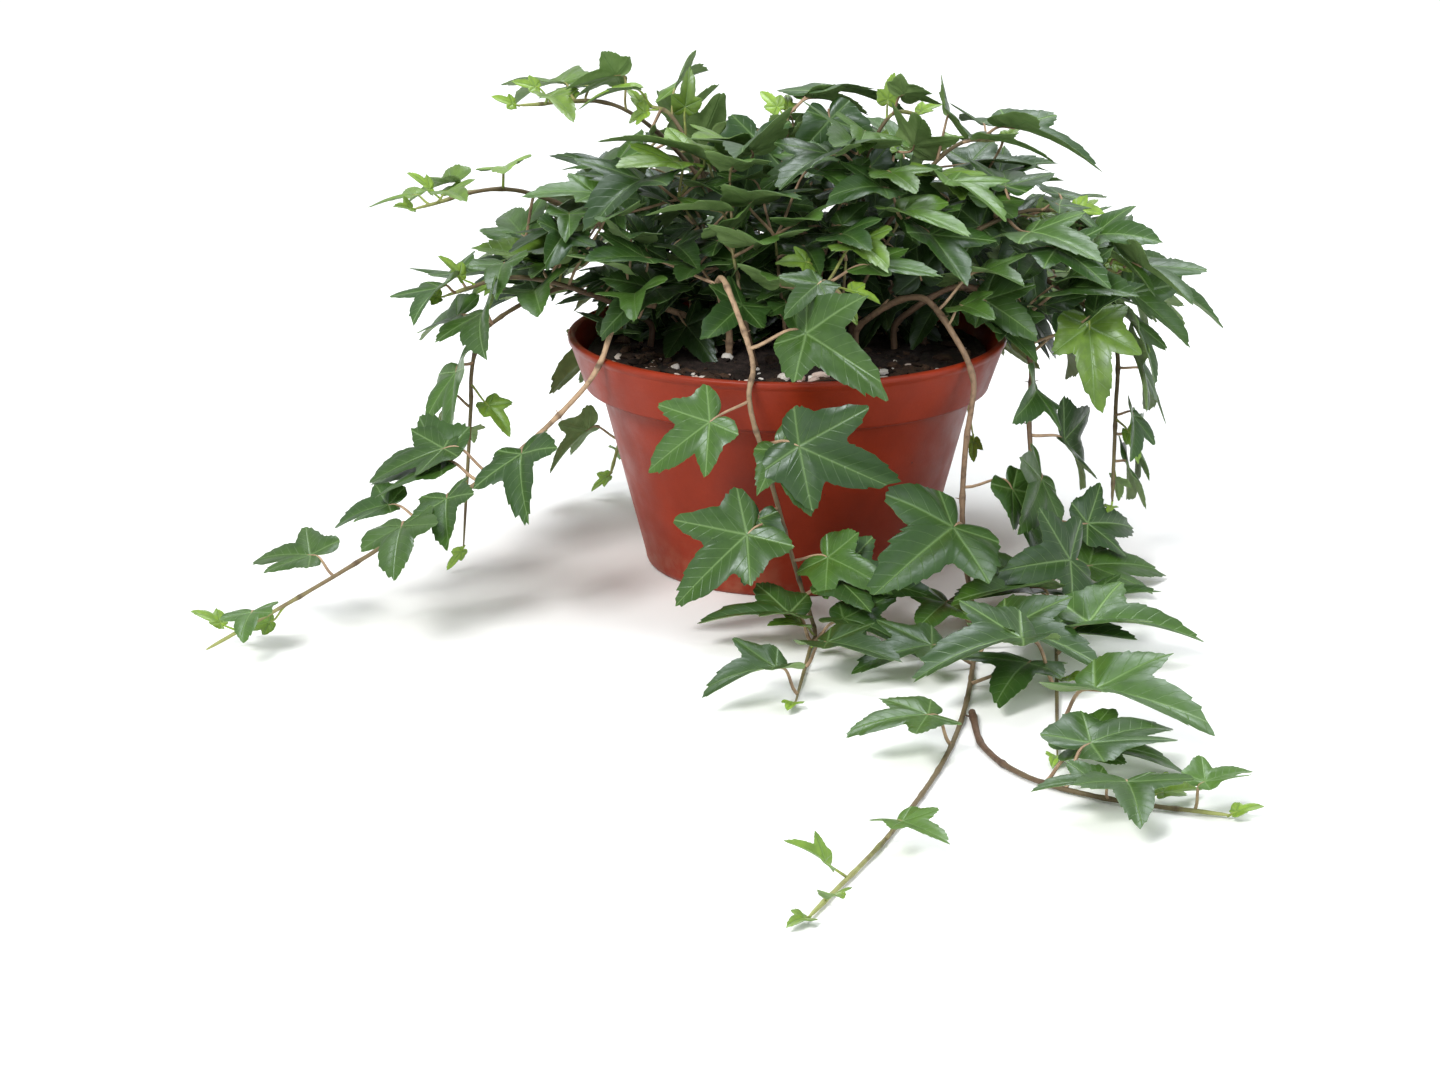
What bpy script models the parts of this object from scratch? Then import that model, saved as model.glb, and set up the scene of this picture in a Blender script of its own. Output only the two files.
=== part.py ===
"""Potted ivy: a squat tapered pot with a collar, its soil, the rooted stems that mound up over it, spill over
its lip and lie on the table, and the larger lobed leaves on their stalks.

Metres, +Z up. The origin is the centre of the pot's flat underside, and -Y is the front. A place round the
pot is an azimuth in degrees, 0 at the front and 90 on the right, and a distance from the pot's lip."""

import itertools
import math

import bmesh
import bpy
from mathutils import Matrix, Vector, noise
from mathutils.bvhtree import BVHTree
from mathutils.geometry import interpolate_bezier

# Driving dimensions, in metres.
POT_HEIGHT = 0.086
LIP_DIAMETER = 0.160
BASE_DIAMETER = 0.104
COLLAR_HEIGHT = 0.019
COLLAR_TAPER = 0.006  # how much narrower in radius the collar is at its lower edge
COLLAR_STEP = 0.006  # how far the collar stands out from the body
STEP_DROP = 0.0015  # the slope of the ledge under the collar
FOOT_ROUND = 0.0035
WALL = 0.0018
LIP_THICKNESS = 0.0028
LIP_ROUND = 0.0007
DRAIN_HOLES = 8
DRAIN_DIAMETER = 0.008
DRAIN_INSET = 0.006  # from the foot's edge to the near side of a drain hole
SOIL_BELOW_LIP = 0.007
SOIL_DOME = 0.003
SOIL_LUMP = 0.0012
STEM_DIAMETER = 0.0028  # at the root
TIP_DIAMETER = 0.0015
RING_SPACING = 0.009  # between the rings of a stem
ROUTE_INSET = 0.0014  # how far in from the lip's outer top edge the stems' routes are measured
BLADE_THICKNESS = 0.0008
STALK_WIDTH = 0.0014
STALK_THICKNESS = 0.0011
STALK_BEND = 0.35  # how far a stalk runs on from each of its ends before it bends, as a share of its length
CLEARANCE = 0.0003  # between pieces that touch

POT_SEGMENTS = 48
SOIL_SEGMENTS = 36
STALK_STEPS = 4
STEPS_PER_SPAN = 12

# Half of a leaf's outline from the tip round to the stalk: degrees off the midrib, share of the blade's length.
LOBES = (
    (0, 1.0), (11, 0.66), (26, 0.42), (42, 0.62), (53, 0.74), (62, 0.50),
    (82, 0.33), (104, 0.42), (122, 0.46), (146, 0.27),
)
NOTCH = 0.07  # how far behind the hub the stalk joins, as a share of the blade's length
BLADE_FOLD = 0.16  # rise of each half per metre away from the midrib
BLADE_DROOP = 0.22  # fall of the tip, as a share of the blade's length

# A trailing stem: its root (azimuth, mm from the pot's axis), or the stem and share that it branches from. It
# arches some mm above the lip, and begins to hang at "over" (azimuth, mm beyond the lip). It comes down at its
# foot (azimuth, mm beyond the lip, share of the pot's height), plumb at first when its droop is large. From there
# it may lie out on the table to its tip (azimuth, mm beyond the lip), bowed some mm to the right of its way.
TRAILS = {
    "stem_front": {
        "root": (-45, 30), "arch": 30, "over": (-10, 4), "foot": (5, 15, 0), "droop": 3, "tip": (0, 90), "bow": 0,
    },
    "stem_front_right": {
        "root": (55, 30), "arch": 20, "over": (50, 4), "foot": (40, 20, 0), "droop": 3, "tip": (0, 270), "bow": -15,
    },
    "stem_fork": {"root": ("stem_front_right", 0.6), "tip": (25, 220), "bow": 25},
    "stem_right": {
        "root": (75, 40), "arch": 20, "over": (75, 10), "foot": (60, 30, 0), "droop": 2, "tip": (20, 155), "bow": 0,
    },
    "stem_far_right": {"root": (110, 40), "arch": 20, "over": (85, 40), "foot": (80, 40, 0.3), "droop": 1},
    "stem_front_left": {"root": (-85, 35), "arch": 15, "over": (-55, 5), "foot": (-60, 150, 0), "droop": 1.3},
    "stem_left": {"root": (-120, 30), "arch": 15, "over": (-80, 35), "foot": (-80, 40, 0.1), "droop": 1},
    "stem_back_left": {"root": (-150, 35), "arch": 15, "over": (-145, 6), "foot": (-140, 25, 0.1), "droop": 1},
    "stem_back": {
        "root": (180, 30), "arch": 15, "over": (185, 5), "foot": (185, 20, 0), "droop": 3, "tip": (190, 85), "bow": 5,
    },
    "stem_back_right": {"root": (140, 35), "arch": 20, "over": (135, 10), "foot": (135, 25, 0.3), "droop": 1},
}

# A shoot of the crown: its root (azimuth, mm from the pot's axis), and its tip (azimuth, mm beyond the lip, mm
# above the lip).
SHOOTS = {
    "shoot_left": ((-130, 45), (-90, 55, 45)),
    "shoot_low_left": ((-85, 50), (-85, 45, 15)),
    "shoot_top_left": ((-160, 25), (-115, 30, 75)),
    "shoot_top_mid_left": ((-110, 10), (-130, -10, 75)),
    "shoot_top": ((180, 5), (180, -45, 75)),
    "shoot_top_mid_right": ((130, 20), (120, -25, 75)),
    "shoot_top_right": ((90, 15), (110, 5, 65)),
    "shoot_right_high": ((70, 25), (100, 30, 40)),
    "shoot_right_low": ((90, 50), (90, 45, 20)),
    "shoot_front": ((10, 25), (15, -5, 25)),
    "shoot_back_left": ((-170, 50), (-155, 15, 40)),
    "shoot_back_right": ((160, 50), (150, 15, 35)),
}
SHOOT_ARCH = 10  # how many mm a shoot bends up above the even rise to its tip
HANG_START = 0.93  # the share of the pot's height at which a stem hangs clear of the lip
LIP_PASS = 7  # how many mm above the lip a stem is just before it begins to hang


def from_srgb(red, green, blue):
    """The linear colour of an sRGB colour given from 0 to 255."""
    shares = (channel / 255 for channel in (red, green, blue))
    return tuple(((s + 0.055) / 1.055) ** 2.4 if s > 0.04045 else s / 12.92 for s in shares)


def clear_scene():
    for existing in list(bpy.data.objects):
        bpy.data.objects.remove(existing, do_unlink=True)


def finish_material(name, colour, roughness):
    material = bpy.data.materials.new(name)
    material.use_nodes = True
    shader = material.node_tree.nodes["Principled BSDF"]
    shader.inputs["Base Color"].default_value = (*colour, 1)
    shader.inputs["Roughness"].default_value = roughness
    shader.inputs["Metallic"].default_value = 0
    material.diffuse_color = (*colour, 1)
    return material


def add_object(name, mesh, material):
    piece = bpy.data.objects.new(name, mesh)
    mesh.materials.append(material)
    bpy.context.scene.collection.objects.link(piece)
    return piece


def turned_mesh(name, profile, segments):
    """A solid of revolution about Z. The profile of (radius, height) starts and ends on the axis."""
    shape = bmesh.new()
    rings = []
    for radius, height in profile:
        if radius == 0:
            rings.append([shape.verts.new((0, 0, height))])
            continue
        angles = (2 * math.pi * step / segments for step in range(segments))
        spots = [(radius * math.cos(a), radius * math.sin(a), height) for a in angles]
        rings.append([shape.verts.new(spot) for spot in spots])
    for inner, outer in zip(rings, rings[1:]):
        for step in range(segments):
            after = (step + 1) % segments
            corners = [inner[step % len(inner)], inner[after % len(inner)]]
            corners += [outer[after % len(outer)], outer[step % len(outer)]]
            shape.faces.new(list(dict.fromkeys(corners)))
    bmesh.ops.recalc_face_normals(shape, faces=shape.faces)
    mesh = bpy.data.meshes.new(name)
    shape.to_mesh(mesh)
    shape.free()
    mesh.shade_smooth()
    mesh.set_sharp_from_angle(angle=math.radians(40))
    return mesh


# --- The pot ---

LIP_RADIUS = LIP_DIAMETER / 2
BASE_RADIUS = BASE_DIAMETER / 2
COLLAR_BOTTOM = POT_HEIGHT - COLLAR_HEIGHT
COLLAR_BOTTOM_RADIUS = LIP_RADIUS - COLLAR_TAPER
BODY_TOP_RADIUS = COLLAR_BOTTOM_RADIUS - COLLAR_STEP
FOOT_INSET = FOOT_ROUND * 0.6


def cavity_profile(gap, top):
    """The pot's inside from the floor's edge up to the height top, a gap smaller all round."""
    inner_ledge = COLLAR_BOTTOM + WALL + gap
    lip_inside = LIP_RADIUS - LIP_THICKNESS - gap
    band_inside = COLLAR_BOTTOM_RADIUS - WALL - gap
    share = (top - inner_ledge) / (POT_HEIGHT - inner_ledge)
    return [
        (BASE_RADIUS - WALL - FOOT_INSET - gap, WALL + gap),
        (BASE_RADIUS - WALL - gap, FOOT_ROUND + gap),
        (BODY_TOP_RADIUS - WALL - gap, inner_ledge - STEP_DROP),
        (band_inside, inner_ledge),
        (band_inside + share * (lip_inside - band_inside), top),
    ]


def make_pot(material):
    outside = [
        (0, 0),
        (BASE_RADIUS - FOOT_INSET, 0),
        (BASE_RADIUS - FOOT_INSET * 0.3, FOOT_ROUND * 0.3),
        (BASE_RADIUS, FOOT_ROUND),
        (BODY_TOP_RADIUS, COLLAR_BOTTOM - STEP_DROP),
        (COLLAR_BOTTOM_RADIUS, COLLAR_BOTTOM),
        (LIP_RADIUS, POT_HEIGHT - LIP_ROUND),
        (LIP_RADIUS - LIP_ROUND, POT_HEIGHT),
        (LIP_RADIUS - LIP_THICKNESS + LIP_ROUND, POT_HEIGHT),
    ]
    inside = cavity_profile(0, POT_HEIGHT - LIP_ROUND)
    profile = outside + inside[::-1] + [(0, WALL)]
    pot = add_object("pot", turned_mesh("pot", profile, POT_SEGMENTS), material)
    cut_drain_holes(pot)
    return pot


def cut_drain_holes(pot):
    """Round holes through the pot's floor, in a ring near its edge."""
    ring_radius = BASE_RADIUS - FOOT_INSET - DRAIN_INSET - DRAIN_DIAMETER / 2
    cutters = bmesh.new()
    for number in range(DRAIN_HOLES):
        turn = Matrix.Rotation(2 * math.pi * (number + 0.5) / DRAIN_HOLES, 4, "Z")
        place = turn @ Matrix.Translation((ring_radius, 0, WALL / 2))
        bmesh.ops.create_cone(
            cutters, cap_ends=True, segments=12, radius1=DRAIN_DIAMETER / 2, radius2=DRAIN_DIAMETER / 2,
            depth=3 * WALL, matrix=place,
        )
    mesh = bpy.data.meshes.new("drain_cutter")
    cutters.to_mesh(mesh)
    cutters.free()
    cutter = bpy.data.objects.new("drain_cutter", mesh)
    bpy.context.scene.collection.objects.link(cutter)
    cutter.hide_render = True
    cutter.display_type = "WIRE"
    cut = pot.modifiers.new("drain_holes", "BOOLEAN")
    cut.operation = "DIFFERENCE"
    cut.object = cutter


# --- The soil ---

SOIL_TOP = POT_HEIGHT - SOIL_BELOW_LIP
SOIL_RINGS = 8
LUMP_SIZE = 0.011


def make_soil(material):
    """A plug that fills the pot to just below its lip, with a low domed and lumpy top."""
    wall = cavity_profile(CLEARANCE, SOIL_TOP)
    edge_radius = wall[-1][0]
    top = [(edge_radius * (SOIL_RINGS - ring) / SOIL_RINGS, SOIL_TOP) for ring in range(1, SOIL_RINGS)]
    mesh = turned_mesh("potting_soil", [(0, wall[0][1])] + wall + top + [(0, SOIL_TOP)], SOIL_SEGMENTS)
    for vertex in mesh.vertices:
        radius = math.hypot(vertex.co.x, vertex.co.y)
        if vertex.co.z < SOIL_TOP - 1e-6 or radius > edge_radius * 0.99:
            continue
        dome = SOIL_DOME * (1 - (radius / edge_radius) ** 2)
        lump = SOIL_LUMP * noise.noise(Vector((vertex.co.x, vertex.co.y, 0)) / LUMP_SIZE)
        vertex.co.z += dome + lump
    return add_object("potting_soil", mesh, material)


# --- The stems ---


def round_the_pot(azimuth, radius, height):
    angle = math.radians(azimuth)
    return Vector((radius * math.sin(angle), -radius * math.cos(angle), height))


def surface_tree(piece):
    """The piece's triangles, for tests of what lies near or on it."""
    graph = bpy.context.evaluated_depsgraph_get()
    evaluated = piece.evaluated_get(graph)
    mesh = evaluated.to_mesh()
    corners = [vertex.co.copy() for vertex in mesh.vertices]
    tree = BVHTree.FromPolygons(corners, [tuple(face.vertices) for face in mesh.polygons])
    evaluated.to_mesh_clear()
    return tree


def smooth_path(points, spacing):
    """Points at an even spacing along a smooth curve through the given ones."""
    ends = [2 * points[0] - points[1], *points, 2 * points[-1] - points[-2]]
    fine = []
    for before, start, end, after in zip(ends, ends[1:], ends[2:], ends[3:]):
        linear = end - before
        square = 2 * before - 5 * start + 4 * end - after
        cube = 3 * (start - end) + after - before
        for step in range(STEPS_PER_SPAN):
            t = step / STEPS_PER_SPAN
            fine.append(start + 0.5 * (linear * t + square * t * t + cube * t ** 3))
    fine.append(points[-1])
    lengths = [0.0]
    for start, end in zip(fine, fine[1:]):
        lengths.append(lengths[-1] + (end - start).length)
    count = max(3, round(lengths[-1] / spacing))
    path, index = [], 0
    for step in range(count + 1):
        target = lengths[-1] * step / count
        while index < len(fine) - 2 and lengths[index + 1] < target:
            index += 1
        share = (target - lengths[index]) / (lengths[index + 1] - lengths[index])
        path.append(fine[index].lerp(fine[index + 1], share))
    return path


def above_table(path):
    """The path with no point lower than a stem that lies on the table."""
    return [Vector((x, y, max(z, STEM_DIAMETER / 2))) for x, y, z in path]


def stem_radius(share):
    return (STEM_DIAMETER + share * (TIP_DIAMETER - STEM_DIAMETER)) / 2


def along(path, share):
    """The place and direction at a share of a path's length."""
    place = share * (len(path) - 1)
    index = min(int(place), len(path) - 2)
    return path[index].lerp(path[index + 1], place - index), (path[index + 1] - path[index]).normalized()


def seat_on_stem(place, direction, radius, outward, half_width):
    """Where a piece of this half width that leaves a stem outwards starts, just clear of the stem's bark."""
    slant = outward.dot(direction)
    square = (outward - direction * slant).normalized()
    return place + square * (radius + CLEARANCE + half_width * abs(slant))


def between(start, end, share):
    return tuple(a + (b - a) * share for a, b in zip(start, end))


def near_lip(azimuth, beyond, above):
    """A place on a stem's middle line whose near side is these mm beyond and above the lip."""
    past_lip = STEM_DIAMETER / 2 - ROUTE_INSET
    radius = LIP_RADIUS + past_lip + beyond / 1000
    return round_the_pot(azimuth, radius, POT_HEIGHT + past_lip + above / 1000)


def beside_pot(azimuth, beyond, share):
    """The same at a share of the pot's height above a stem that lies on the table."""
    place = near_lip(azimuth, beyond, 0)
    place.z = STEM_DIAMETER / 2 + share * (POT_HEIGHT - STEM_DIAMETER / 2)
    return place


def rooted(azimuth, out, soil_tree):
    """The first two points of a stem, which leaves the soil upright."""
    surface = soil_tree.ray_cast(round_the_pot(azimuth, out / 1000, 1), Vector((0, 0, -1)))[0]
    foot = surface + Vector((0, 0, 2 * CLEARANCE))
    return [foot, foot + Vector((0, 0, 3 * STEM_DIAMETER))]


def lying_points(start, tip, bow):
    """The points of a bowed way over the table from a start to a tip."""
    end = beside_pot(*tip, 0)
    way = (end - start).normalized()
    right = Vector((way.y, -way.x, 0)) * bow / 1000
    return [start.lerp(end, share) + right * math.sin(math.pi * share) for share in (0.25, 0.5, 0.75, 1)]


def hanging_points(plan):
    """The points of a stem from its root over the lip and down to its foot."""
    root_azimuth, out = plan["root"]
    azimuth, beyond = plan["over"]
    lip_out = LIP_RADIUS * 1000
    points = []
    for share, above in ((1 / 3, 0.8 * plan["arch"]), (2 / 3, plan["arch"]), (1, LIP_PASS)):
        across = between((root_azimuth, out - lip_out), (azimuth, beyond - LIP_PASS), share)
        points.append(near_lip(*across, above))
    foot_azimuth, foot_beyond, foot_share = plan["foot"]
    for share in (0, 0.25, 0.5, 0.75, 1):
        turned, height = between((azimuth, HANG_START), (foot_azimuth, foot_share), share)
        points.append(beside_pot(turned, beyond + (foot_beyond - beyond) * share ** plan["droop"], height))
    return points


def trail_route(plan, paths, soil_tree):
    """The points that a trailing stem passes through, from its root to its tip."""
    parent, place = plan["root"]
    if parent in paths:
        start, direction = along(paths[parent], place)
        rest = lying_points(start, plan["tip"], plan["bow"])
        outward = (rest[0] - start).normalized()
        return [seat_on_stem(start, direction, stem_radius(place), outward, STEM_DIAMETER / 2), *rest]
    points = rooted(parent, place, soil_tree) + hanging_points(plan)
    if "tip" in plan:
        points += lying_points(points[-1], plan["tip"], plan["bow"])
    return points


def shoot_route(root, tip, soil_tree):
    """The points of a shoot, which rises from the soil and bends over to its tip."""
    azimuth, out = root
    *tip_across, tip_above = tip
    points = rooted(azimuth, out, soil_tree)
    for share in (1 / 3, 2 / 3, 1):
        across = between((azimuth, out - LIP_RADIUS * 1000), tip_across, share)
        above = tip_above * math.sin(math.pi / 2 * share) + SHOOT_ARCH * math.sin(math.pi * share)
        points.append(near_lip(*across, above))
    return points


def make_stem(name, path, material):
    curve = bpy.data.curves.new(name, "CURVE")
    curve.dimensions = "3D"
    curve.bevel_depth = STEM_DIAMETER / 2
    curve.bevel_resolution = 1
    curve.use_fill_caps = True
    spline = curve.splines.new("POLY")
    spline.points.add(len(path) - 1)
    for number, (point, place) in enumerate(zip(spline.points, path)):
        point.co = (*place, 1)
        point.radius = stem_radius(number / (len(path) - 1)) / curve.bevel_depth
    return add_object(name, curve, material)


# --- The leaves ---

# The leaves of each stem: how many, the shares of the stem where the first and the last one sit, the lengths of
# their blades in mm, and the side of the first one (1 or -1). They sit on alternate sides.
LEAVES = {
    "stem_front": (6, 0.45, 0.97, 36, 28, -1),
    "stem_front_right": (4, 0.30, 0.86, 48, 20, 1),
    "stem_right": (6, 0.36, 0.92, 30, 44, 1),
    "stem_fork": (3, 0.60, 0.92, 36, 20, -1),
    "stem_far_right": (2, 0.65, 0.85, 26, 26, 1),
    "stem_front_left": (4, 0.55, 0.92, 36, 20, 1),
    "stem_left": (1, 0.55, 0.55, 34, 34, -1),
    "stem_back_left": (1, 0.60, 0.60, 44, 44, 1),
    "stem_back": (1, 0.45, 0.45, 46, 46, 1),
    "shoot_low_left": (1, 0.95, 0.95, 24, 24, -1),
    "shoot_left": (1, 0.95, 0.95, 18, 18, 1),
    "shoot_top_left": (1, 0.85, 0.85, 30, 30, 1),
    "shoot_top": (1, 0.92, 0.92, 36, 36, 1),
    "shoot_top_right": (1, 0.88, 0.88, 34, 34, 1),
    "shoot_right_low": (1, 0.94, 0.94, 32, 32, 1),
    "shoot_back_left": (1, 0.94, 0.94, 40, 40, 1),
    "shoot_back_right": (1, 0.94, 0.94, 40, 40, -1),
}
STALK_LENGTH = 0.4  # of a leaf, as a share of its blade's length
ROOM_TO_HANG = 1.5  # blade lengths above the table at which a leaf can hang as it likes

# What a leaf tries, in order, until it is clear of its neighbours: its stalk turned or longer, its blade turned
# or dipped.
STALK_TURN_TRIES = (0, 25, -25, 50, -50)
STALK_TRIES = (1, 1.3)
TURN_TRIES = (0, 12, -12, 24, -24, 38, -38, 55, -55)
DIP_TRIES = (0, 12, -12, 24, -24)
FURTHER_TRIES = (1, 1.6, 2.2)  # when none of those will do, all again on a longer stalk


def heading(azimuth, rise):
    level = math.cos(math.radians(rise))
    return round_the_pot(azimuth, level, math.sin(math.radians(rise)))


def blade_point(hub, frame, off_midrib, share, length):
    """A point of the blade's outline, which is folded up along its midrib and droops towards its tip."""
    angle = math.radians(off_midrib)
    across, ahead = share * length * math.sin(angle), share * length * math.cos(angle)
    lift = BLADE_FOLD * abs(across) - BLADE_DROOP * length * max(0, ahead / length) ** 2
    side, forward, normal = frame
    return hub + side * across + forward * ahead + normal * lift


def leaf_shape(seating, plan, padding):
    """A leaf's corners and faces: a thin lobed blade round its hub, and a stalk down to the stem."""
    stalk_azimuth, rise, stalk_length, azimuth, dip, face_azimuth, face_rise, length = plan
    outward = heading(stalk_azimuth, rise)
    seat = seat_on_stem(*seating, outward, STALK_WIDTH / 2)
    hub = seat + outward * stalk_length
    forward = heading(azimuth, -dip)
    side = forward.cross(heading(face_azimuth, face_rise)).normalized()
    normal = side.cross(forward)
    frame = (side, forward, normal)

    right = [blade_point(hub, frame, angle, share, length) for angle, share in LOBES]
    left = [blade_point(hub, frame, -angle, share, length) for angle, share in LOBES[1:]]
    behind = hub - forward * NOTCH * length
    middle = [hub] + left[::-1] + right
    lifts = [normal * (BLADE_THICKNESS / 2 + padding)] * len(middle)
    outline = len(middle) - 1

    # The stalk runs from behind the hub in a bend to its seat on the stem.
    reach = STALK_BEND * (behind - seat).length
    path = interpolate_bezier(behind, behind - forward * reach, seat + outward * reach, seat, STALK_STEPS + 1)
    rights, lefts = [], []
    for number, place in enumerate(path):
        ahead = (path[max(number - 1, 0)] - path[min(number + 1, STALK_STEPS)]).normalized()
        across = (side - ahead * side.dot(ahead)).normalized()
        up = across.cross(ahead)
        rights.append(len(middle))
        lefts.append(len(middle) + 1)
        middle += [place + across * STALK_WIDTH / 2, place - across * STALK_WIDTH / 2]
        lifts += [up * (STALK_THICKNESS / 2 + padding)] * 2
    loop = [*range(1, outline + 1), *rights, *lefts[::-1]]

    count = len(middle)
    corners = [m + lift for m, lift in zip(middle, lifts)] + [m - lift for m, lift in zip(middle, lifts)]
    top = [(0, a, b) for a, b in zip(loop[:outline], loop[1 : outline + 1])]
    top += [(0, rights[0], lefts[0]), (0, lefts[0], loop[0])]
    top += [(rights[n], rights[n + 1], lefts[n + 1], lefts[n]) for n in range(STALK_STEPS)]
    faces = top + [tuple(corner + count for corner in reversed(face)) for face in top]
    faces += [(b, a, a + count, b + count) for a, b in zip(loop, loop[1:] + loop[:1])]
    return corners, faces


def angles_of(way):
    """The azimuth and rise of a direction."""
    return math.degrees(math.atan2(way.x, -way.y)), math.degrees(math.asin(way.normalized().z))


def leaf_plan(path, share, length, hand):
    """How a leaf grows: its stalk to one side of the stem, and its blade on outwards with its face up and out."""
    place, direction = along(path, share)
    away = Vector((place.x, place.y, 0)).normalized()
    steep = abs(direction.z)
    face = Vector((0, 0, 1)) * (1.2 - steep) + away * (0.2 + steep)
    side = direction.cross(face).normalized() * hand
    # Near the table a leaf has no room to hang, so it rises instead and looks up.
    lift = 1 - min(1, place.z * 1000 / (ROOM_TO_HANG * length))
    stalk = side + direction * 0.3 + face.normalized() * 0.6
    stalk.z += 0.8 * lift
    blade = side + direction * 0.5 + away * 0.2 - Vector((0, 0, 0.25 * steep))
    blade.z += (0.15 - blade.z) * lift
    face.z += 2 * lift
    stalk_azimuth, stalk_rise = angles_of(stalk)
    blade_azimuth, blade_rise = angles_of(blade)
    return stalk_azimuth, stalk_rise, STALK_LENGTH * length, blade_azimuth, -blade_rise, *angles_of(face), length


def leaf_candidates(plan):
    stalk_azimuth, rise, stalk_length, azimuth, dip, *face, length = plan
    tries = itertools.product(FURTHER_TRIES, STALK_TURN_TRIES, STALK_TRIES, DIP_TRIES, TURN_TRIES)
    for further, stalk_turn, share, more_dip, turn in tries:
        stalk = (stalk_azimuth + stalk_turn, rise, further * share * stalk_length / 1000)
        yield *stalk, azimuth + turn, dip + more_dip, *face, length / 1000


def clashes(own_stem, others, seating, plan):
    """How many faces of the leaf cross or come within the clearance of another piece or the table."""
    corners, faces = leaf_shape(seating, plan, 0)
    below = sum(corner.z < CLEARANCE for corner in corners)
    exact = BVHTree.FromPolygons(corners, faces)
    padded = BVHTree.FromPolygons(*leaf_shape(seating, plan, CLEARANCE))
    return below + len(exact.overlap(own_stem)) + sum(len(padded.overlap(other)) for other in others)


def make_leaf(name, seating, plan, own_stem, others, material):
    """Adds the leaf, turned as little as it needs to be clear of all that is there and of the table."""
    tried = []
    for candidate in leaf_candidates(plan):
        found = clashes(own_stem, others, seating, candidate)
        tried.append((found, candidate))
        if not found:
            break
    chosen = min(tried, key=lambda attempt: attempt[0])[1]
    corners, faces = leaf_shape(seating, chosen, 0)
    mesh = bpy.data.meshes.new(name)
    mesh.from_pydata(corners, [], faces)
    mesh.validate()
    shape = bmesh.new()
    shape.from_mesh(mesh)
    bmesh.ops.recalc_face_normals(shape, faces=shape.faces)
    shape.to_mesh(mesh)
    shape.free()
    return add_object(name, mesh, material)


def main():
    clear_scene()
    pot_finish = finish_material("terracotta_plastic", from_srgb(136, 57, 36), 0.45)
    soil_finish = finish_material("potting_soil", from_srgb(34, 29, 29), 0.95)
    stem_finish = finish_material("ivy_stem", from_srgb(118, 90, 66), 0.7)
    leaf_finish = finish_material("ivy_leaf", from_srgb(79, 110, 68), 0.4)

    pot = make_pot(pot_finish)
    soil = make_soil(soil_finish)
    pot_tree, soil_tree = surface_tree(pot), surface_tree(soil)

    paths, trees = {}, {}
    for name, plan in TRAILS.items():
        paths[name] = above_table(smooth_path(trail_route(plan, paths, soil_tree), RING_SPACING))
    for name, (root, tip) in SHOOTS.items():
        paths[name] = above_table(smooth_path(shoot_route(root, tip, soil_tree), RING_SPACING))
    for name, path in paths.items():
        trees[name] = surface_tree(make_stem(name, path, stem_finish))

    leaf_trees = []
    for stem, (count, first, last, first_length, last_length, hand) in LEAVES.items():
        others = [pot_tree, soil_tree, *(tree for other, tree in trees.items() if other != stem)]
        for number in range(count):
            share, length = between((first, first_length), (last, last_length), number / max(1, count - 1))
            seating = (*along(paths[stem], share), stem_radius(share))
            plan = leaf_plan(paths[stem], share, length, hand * (-1) ** number)
            name = f"leaf_{stem.removeprefix('stem_')}_{number + 1}"
            leaf = make_leaf(name, seating, plan, trees[stem], others + leaf_trees, leaf_finish)
            leaf_trees.append(surface_tree(leaf))


main()
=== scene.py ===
"""Potted ivy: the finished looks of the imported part.

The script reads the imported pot, soil, stems and larger leaves, and builds the finished pieces on them: the
turned pot, the crumbly soil, the woody stems, and every lobed leaf with its veins and its stalk. Metres, +Z
up, and -Y is the front. A place round the pot is an azimuth in degrees, 0 at the front and 90 on the right."""

import math
import random

import bmesh
import bpy
import numpy as np
from mathutils import Matrix, Vector, noise
from mathutils.bvhtree import BVHTree
from mathutils.geometry import interpolate_bezier


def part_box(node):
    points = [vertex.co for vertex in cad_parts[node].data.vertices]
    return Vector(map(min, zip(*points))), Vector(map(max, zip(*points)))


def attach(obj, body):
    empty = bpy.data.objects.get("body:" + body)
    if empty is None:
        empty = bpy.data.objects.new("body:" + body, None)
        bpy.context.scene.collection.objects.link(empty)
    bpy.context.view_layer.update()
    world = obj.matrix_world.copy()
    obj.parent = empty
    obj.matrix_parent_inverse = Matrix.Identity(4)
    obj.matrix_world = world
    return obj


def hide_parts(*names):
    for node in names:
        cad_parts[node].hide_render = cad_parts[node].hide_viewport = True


bl_info = {
    "name": "Potted Ivy",
    "version": (1, 0, 0),
    "blender": (4, 5, 0),
    "location": "3D View > Sidebar > Ivy",
    "description": "Builds the finished pot, soil, stems and leaves on the packed ivy",
    "category": "Object",
}

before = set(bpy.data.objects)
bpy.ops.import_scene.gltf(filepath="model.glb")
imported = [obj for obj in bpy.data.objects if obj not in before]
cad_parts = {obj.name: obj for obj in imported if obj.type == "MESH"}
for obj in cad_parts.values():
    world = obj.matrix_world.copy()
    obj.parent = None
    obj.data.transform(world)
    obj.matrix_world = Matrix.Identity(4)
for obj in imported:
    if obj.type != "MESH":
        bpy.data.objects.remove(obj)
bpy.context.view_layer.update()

UP = Vector((0, 0, 1))
SEED = 11

POT_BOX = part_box("pot")
SOIL_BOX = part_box("potting_soil")
LIP_RADIUS = POT_BOX[1].x
POT_HEIGHT = POT_BOX[1].z
SOIL_RADIUS = SOIL_BOX[1].x
FLOOR_GAP = 0.0003  # no stem or leaf comes nearer to the floor
STEMS = sorted(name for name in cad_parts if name.startswith(("stem_", "shoot_")))
CAD_LEAVES = sorted(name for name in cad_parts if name.startswith("leaf_"))
LEAF_CEILING = max(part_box(name)[1].z for name in CAD_LEAVES) + 0.005  # for the hubs and tips of added leaves

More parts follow.
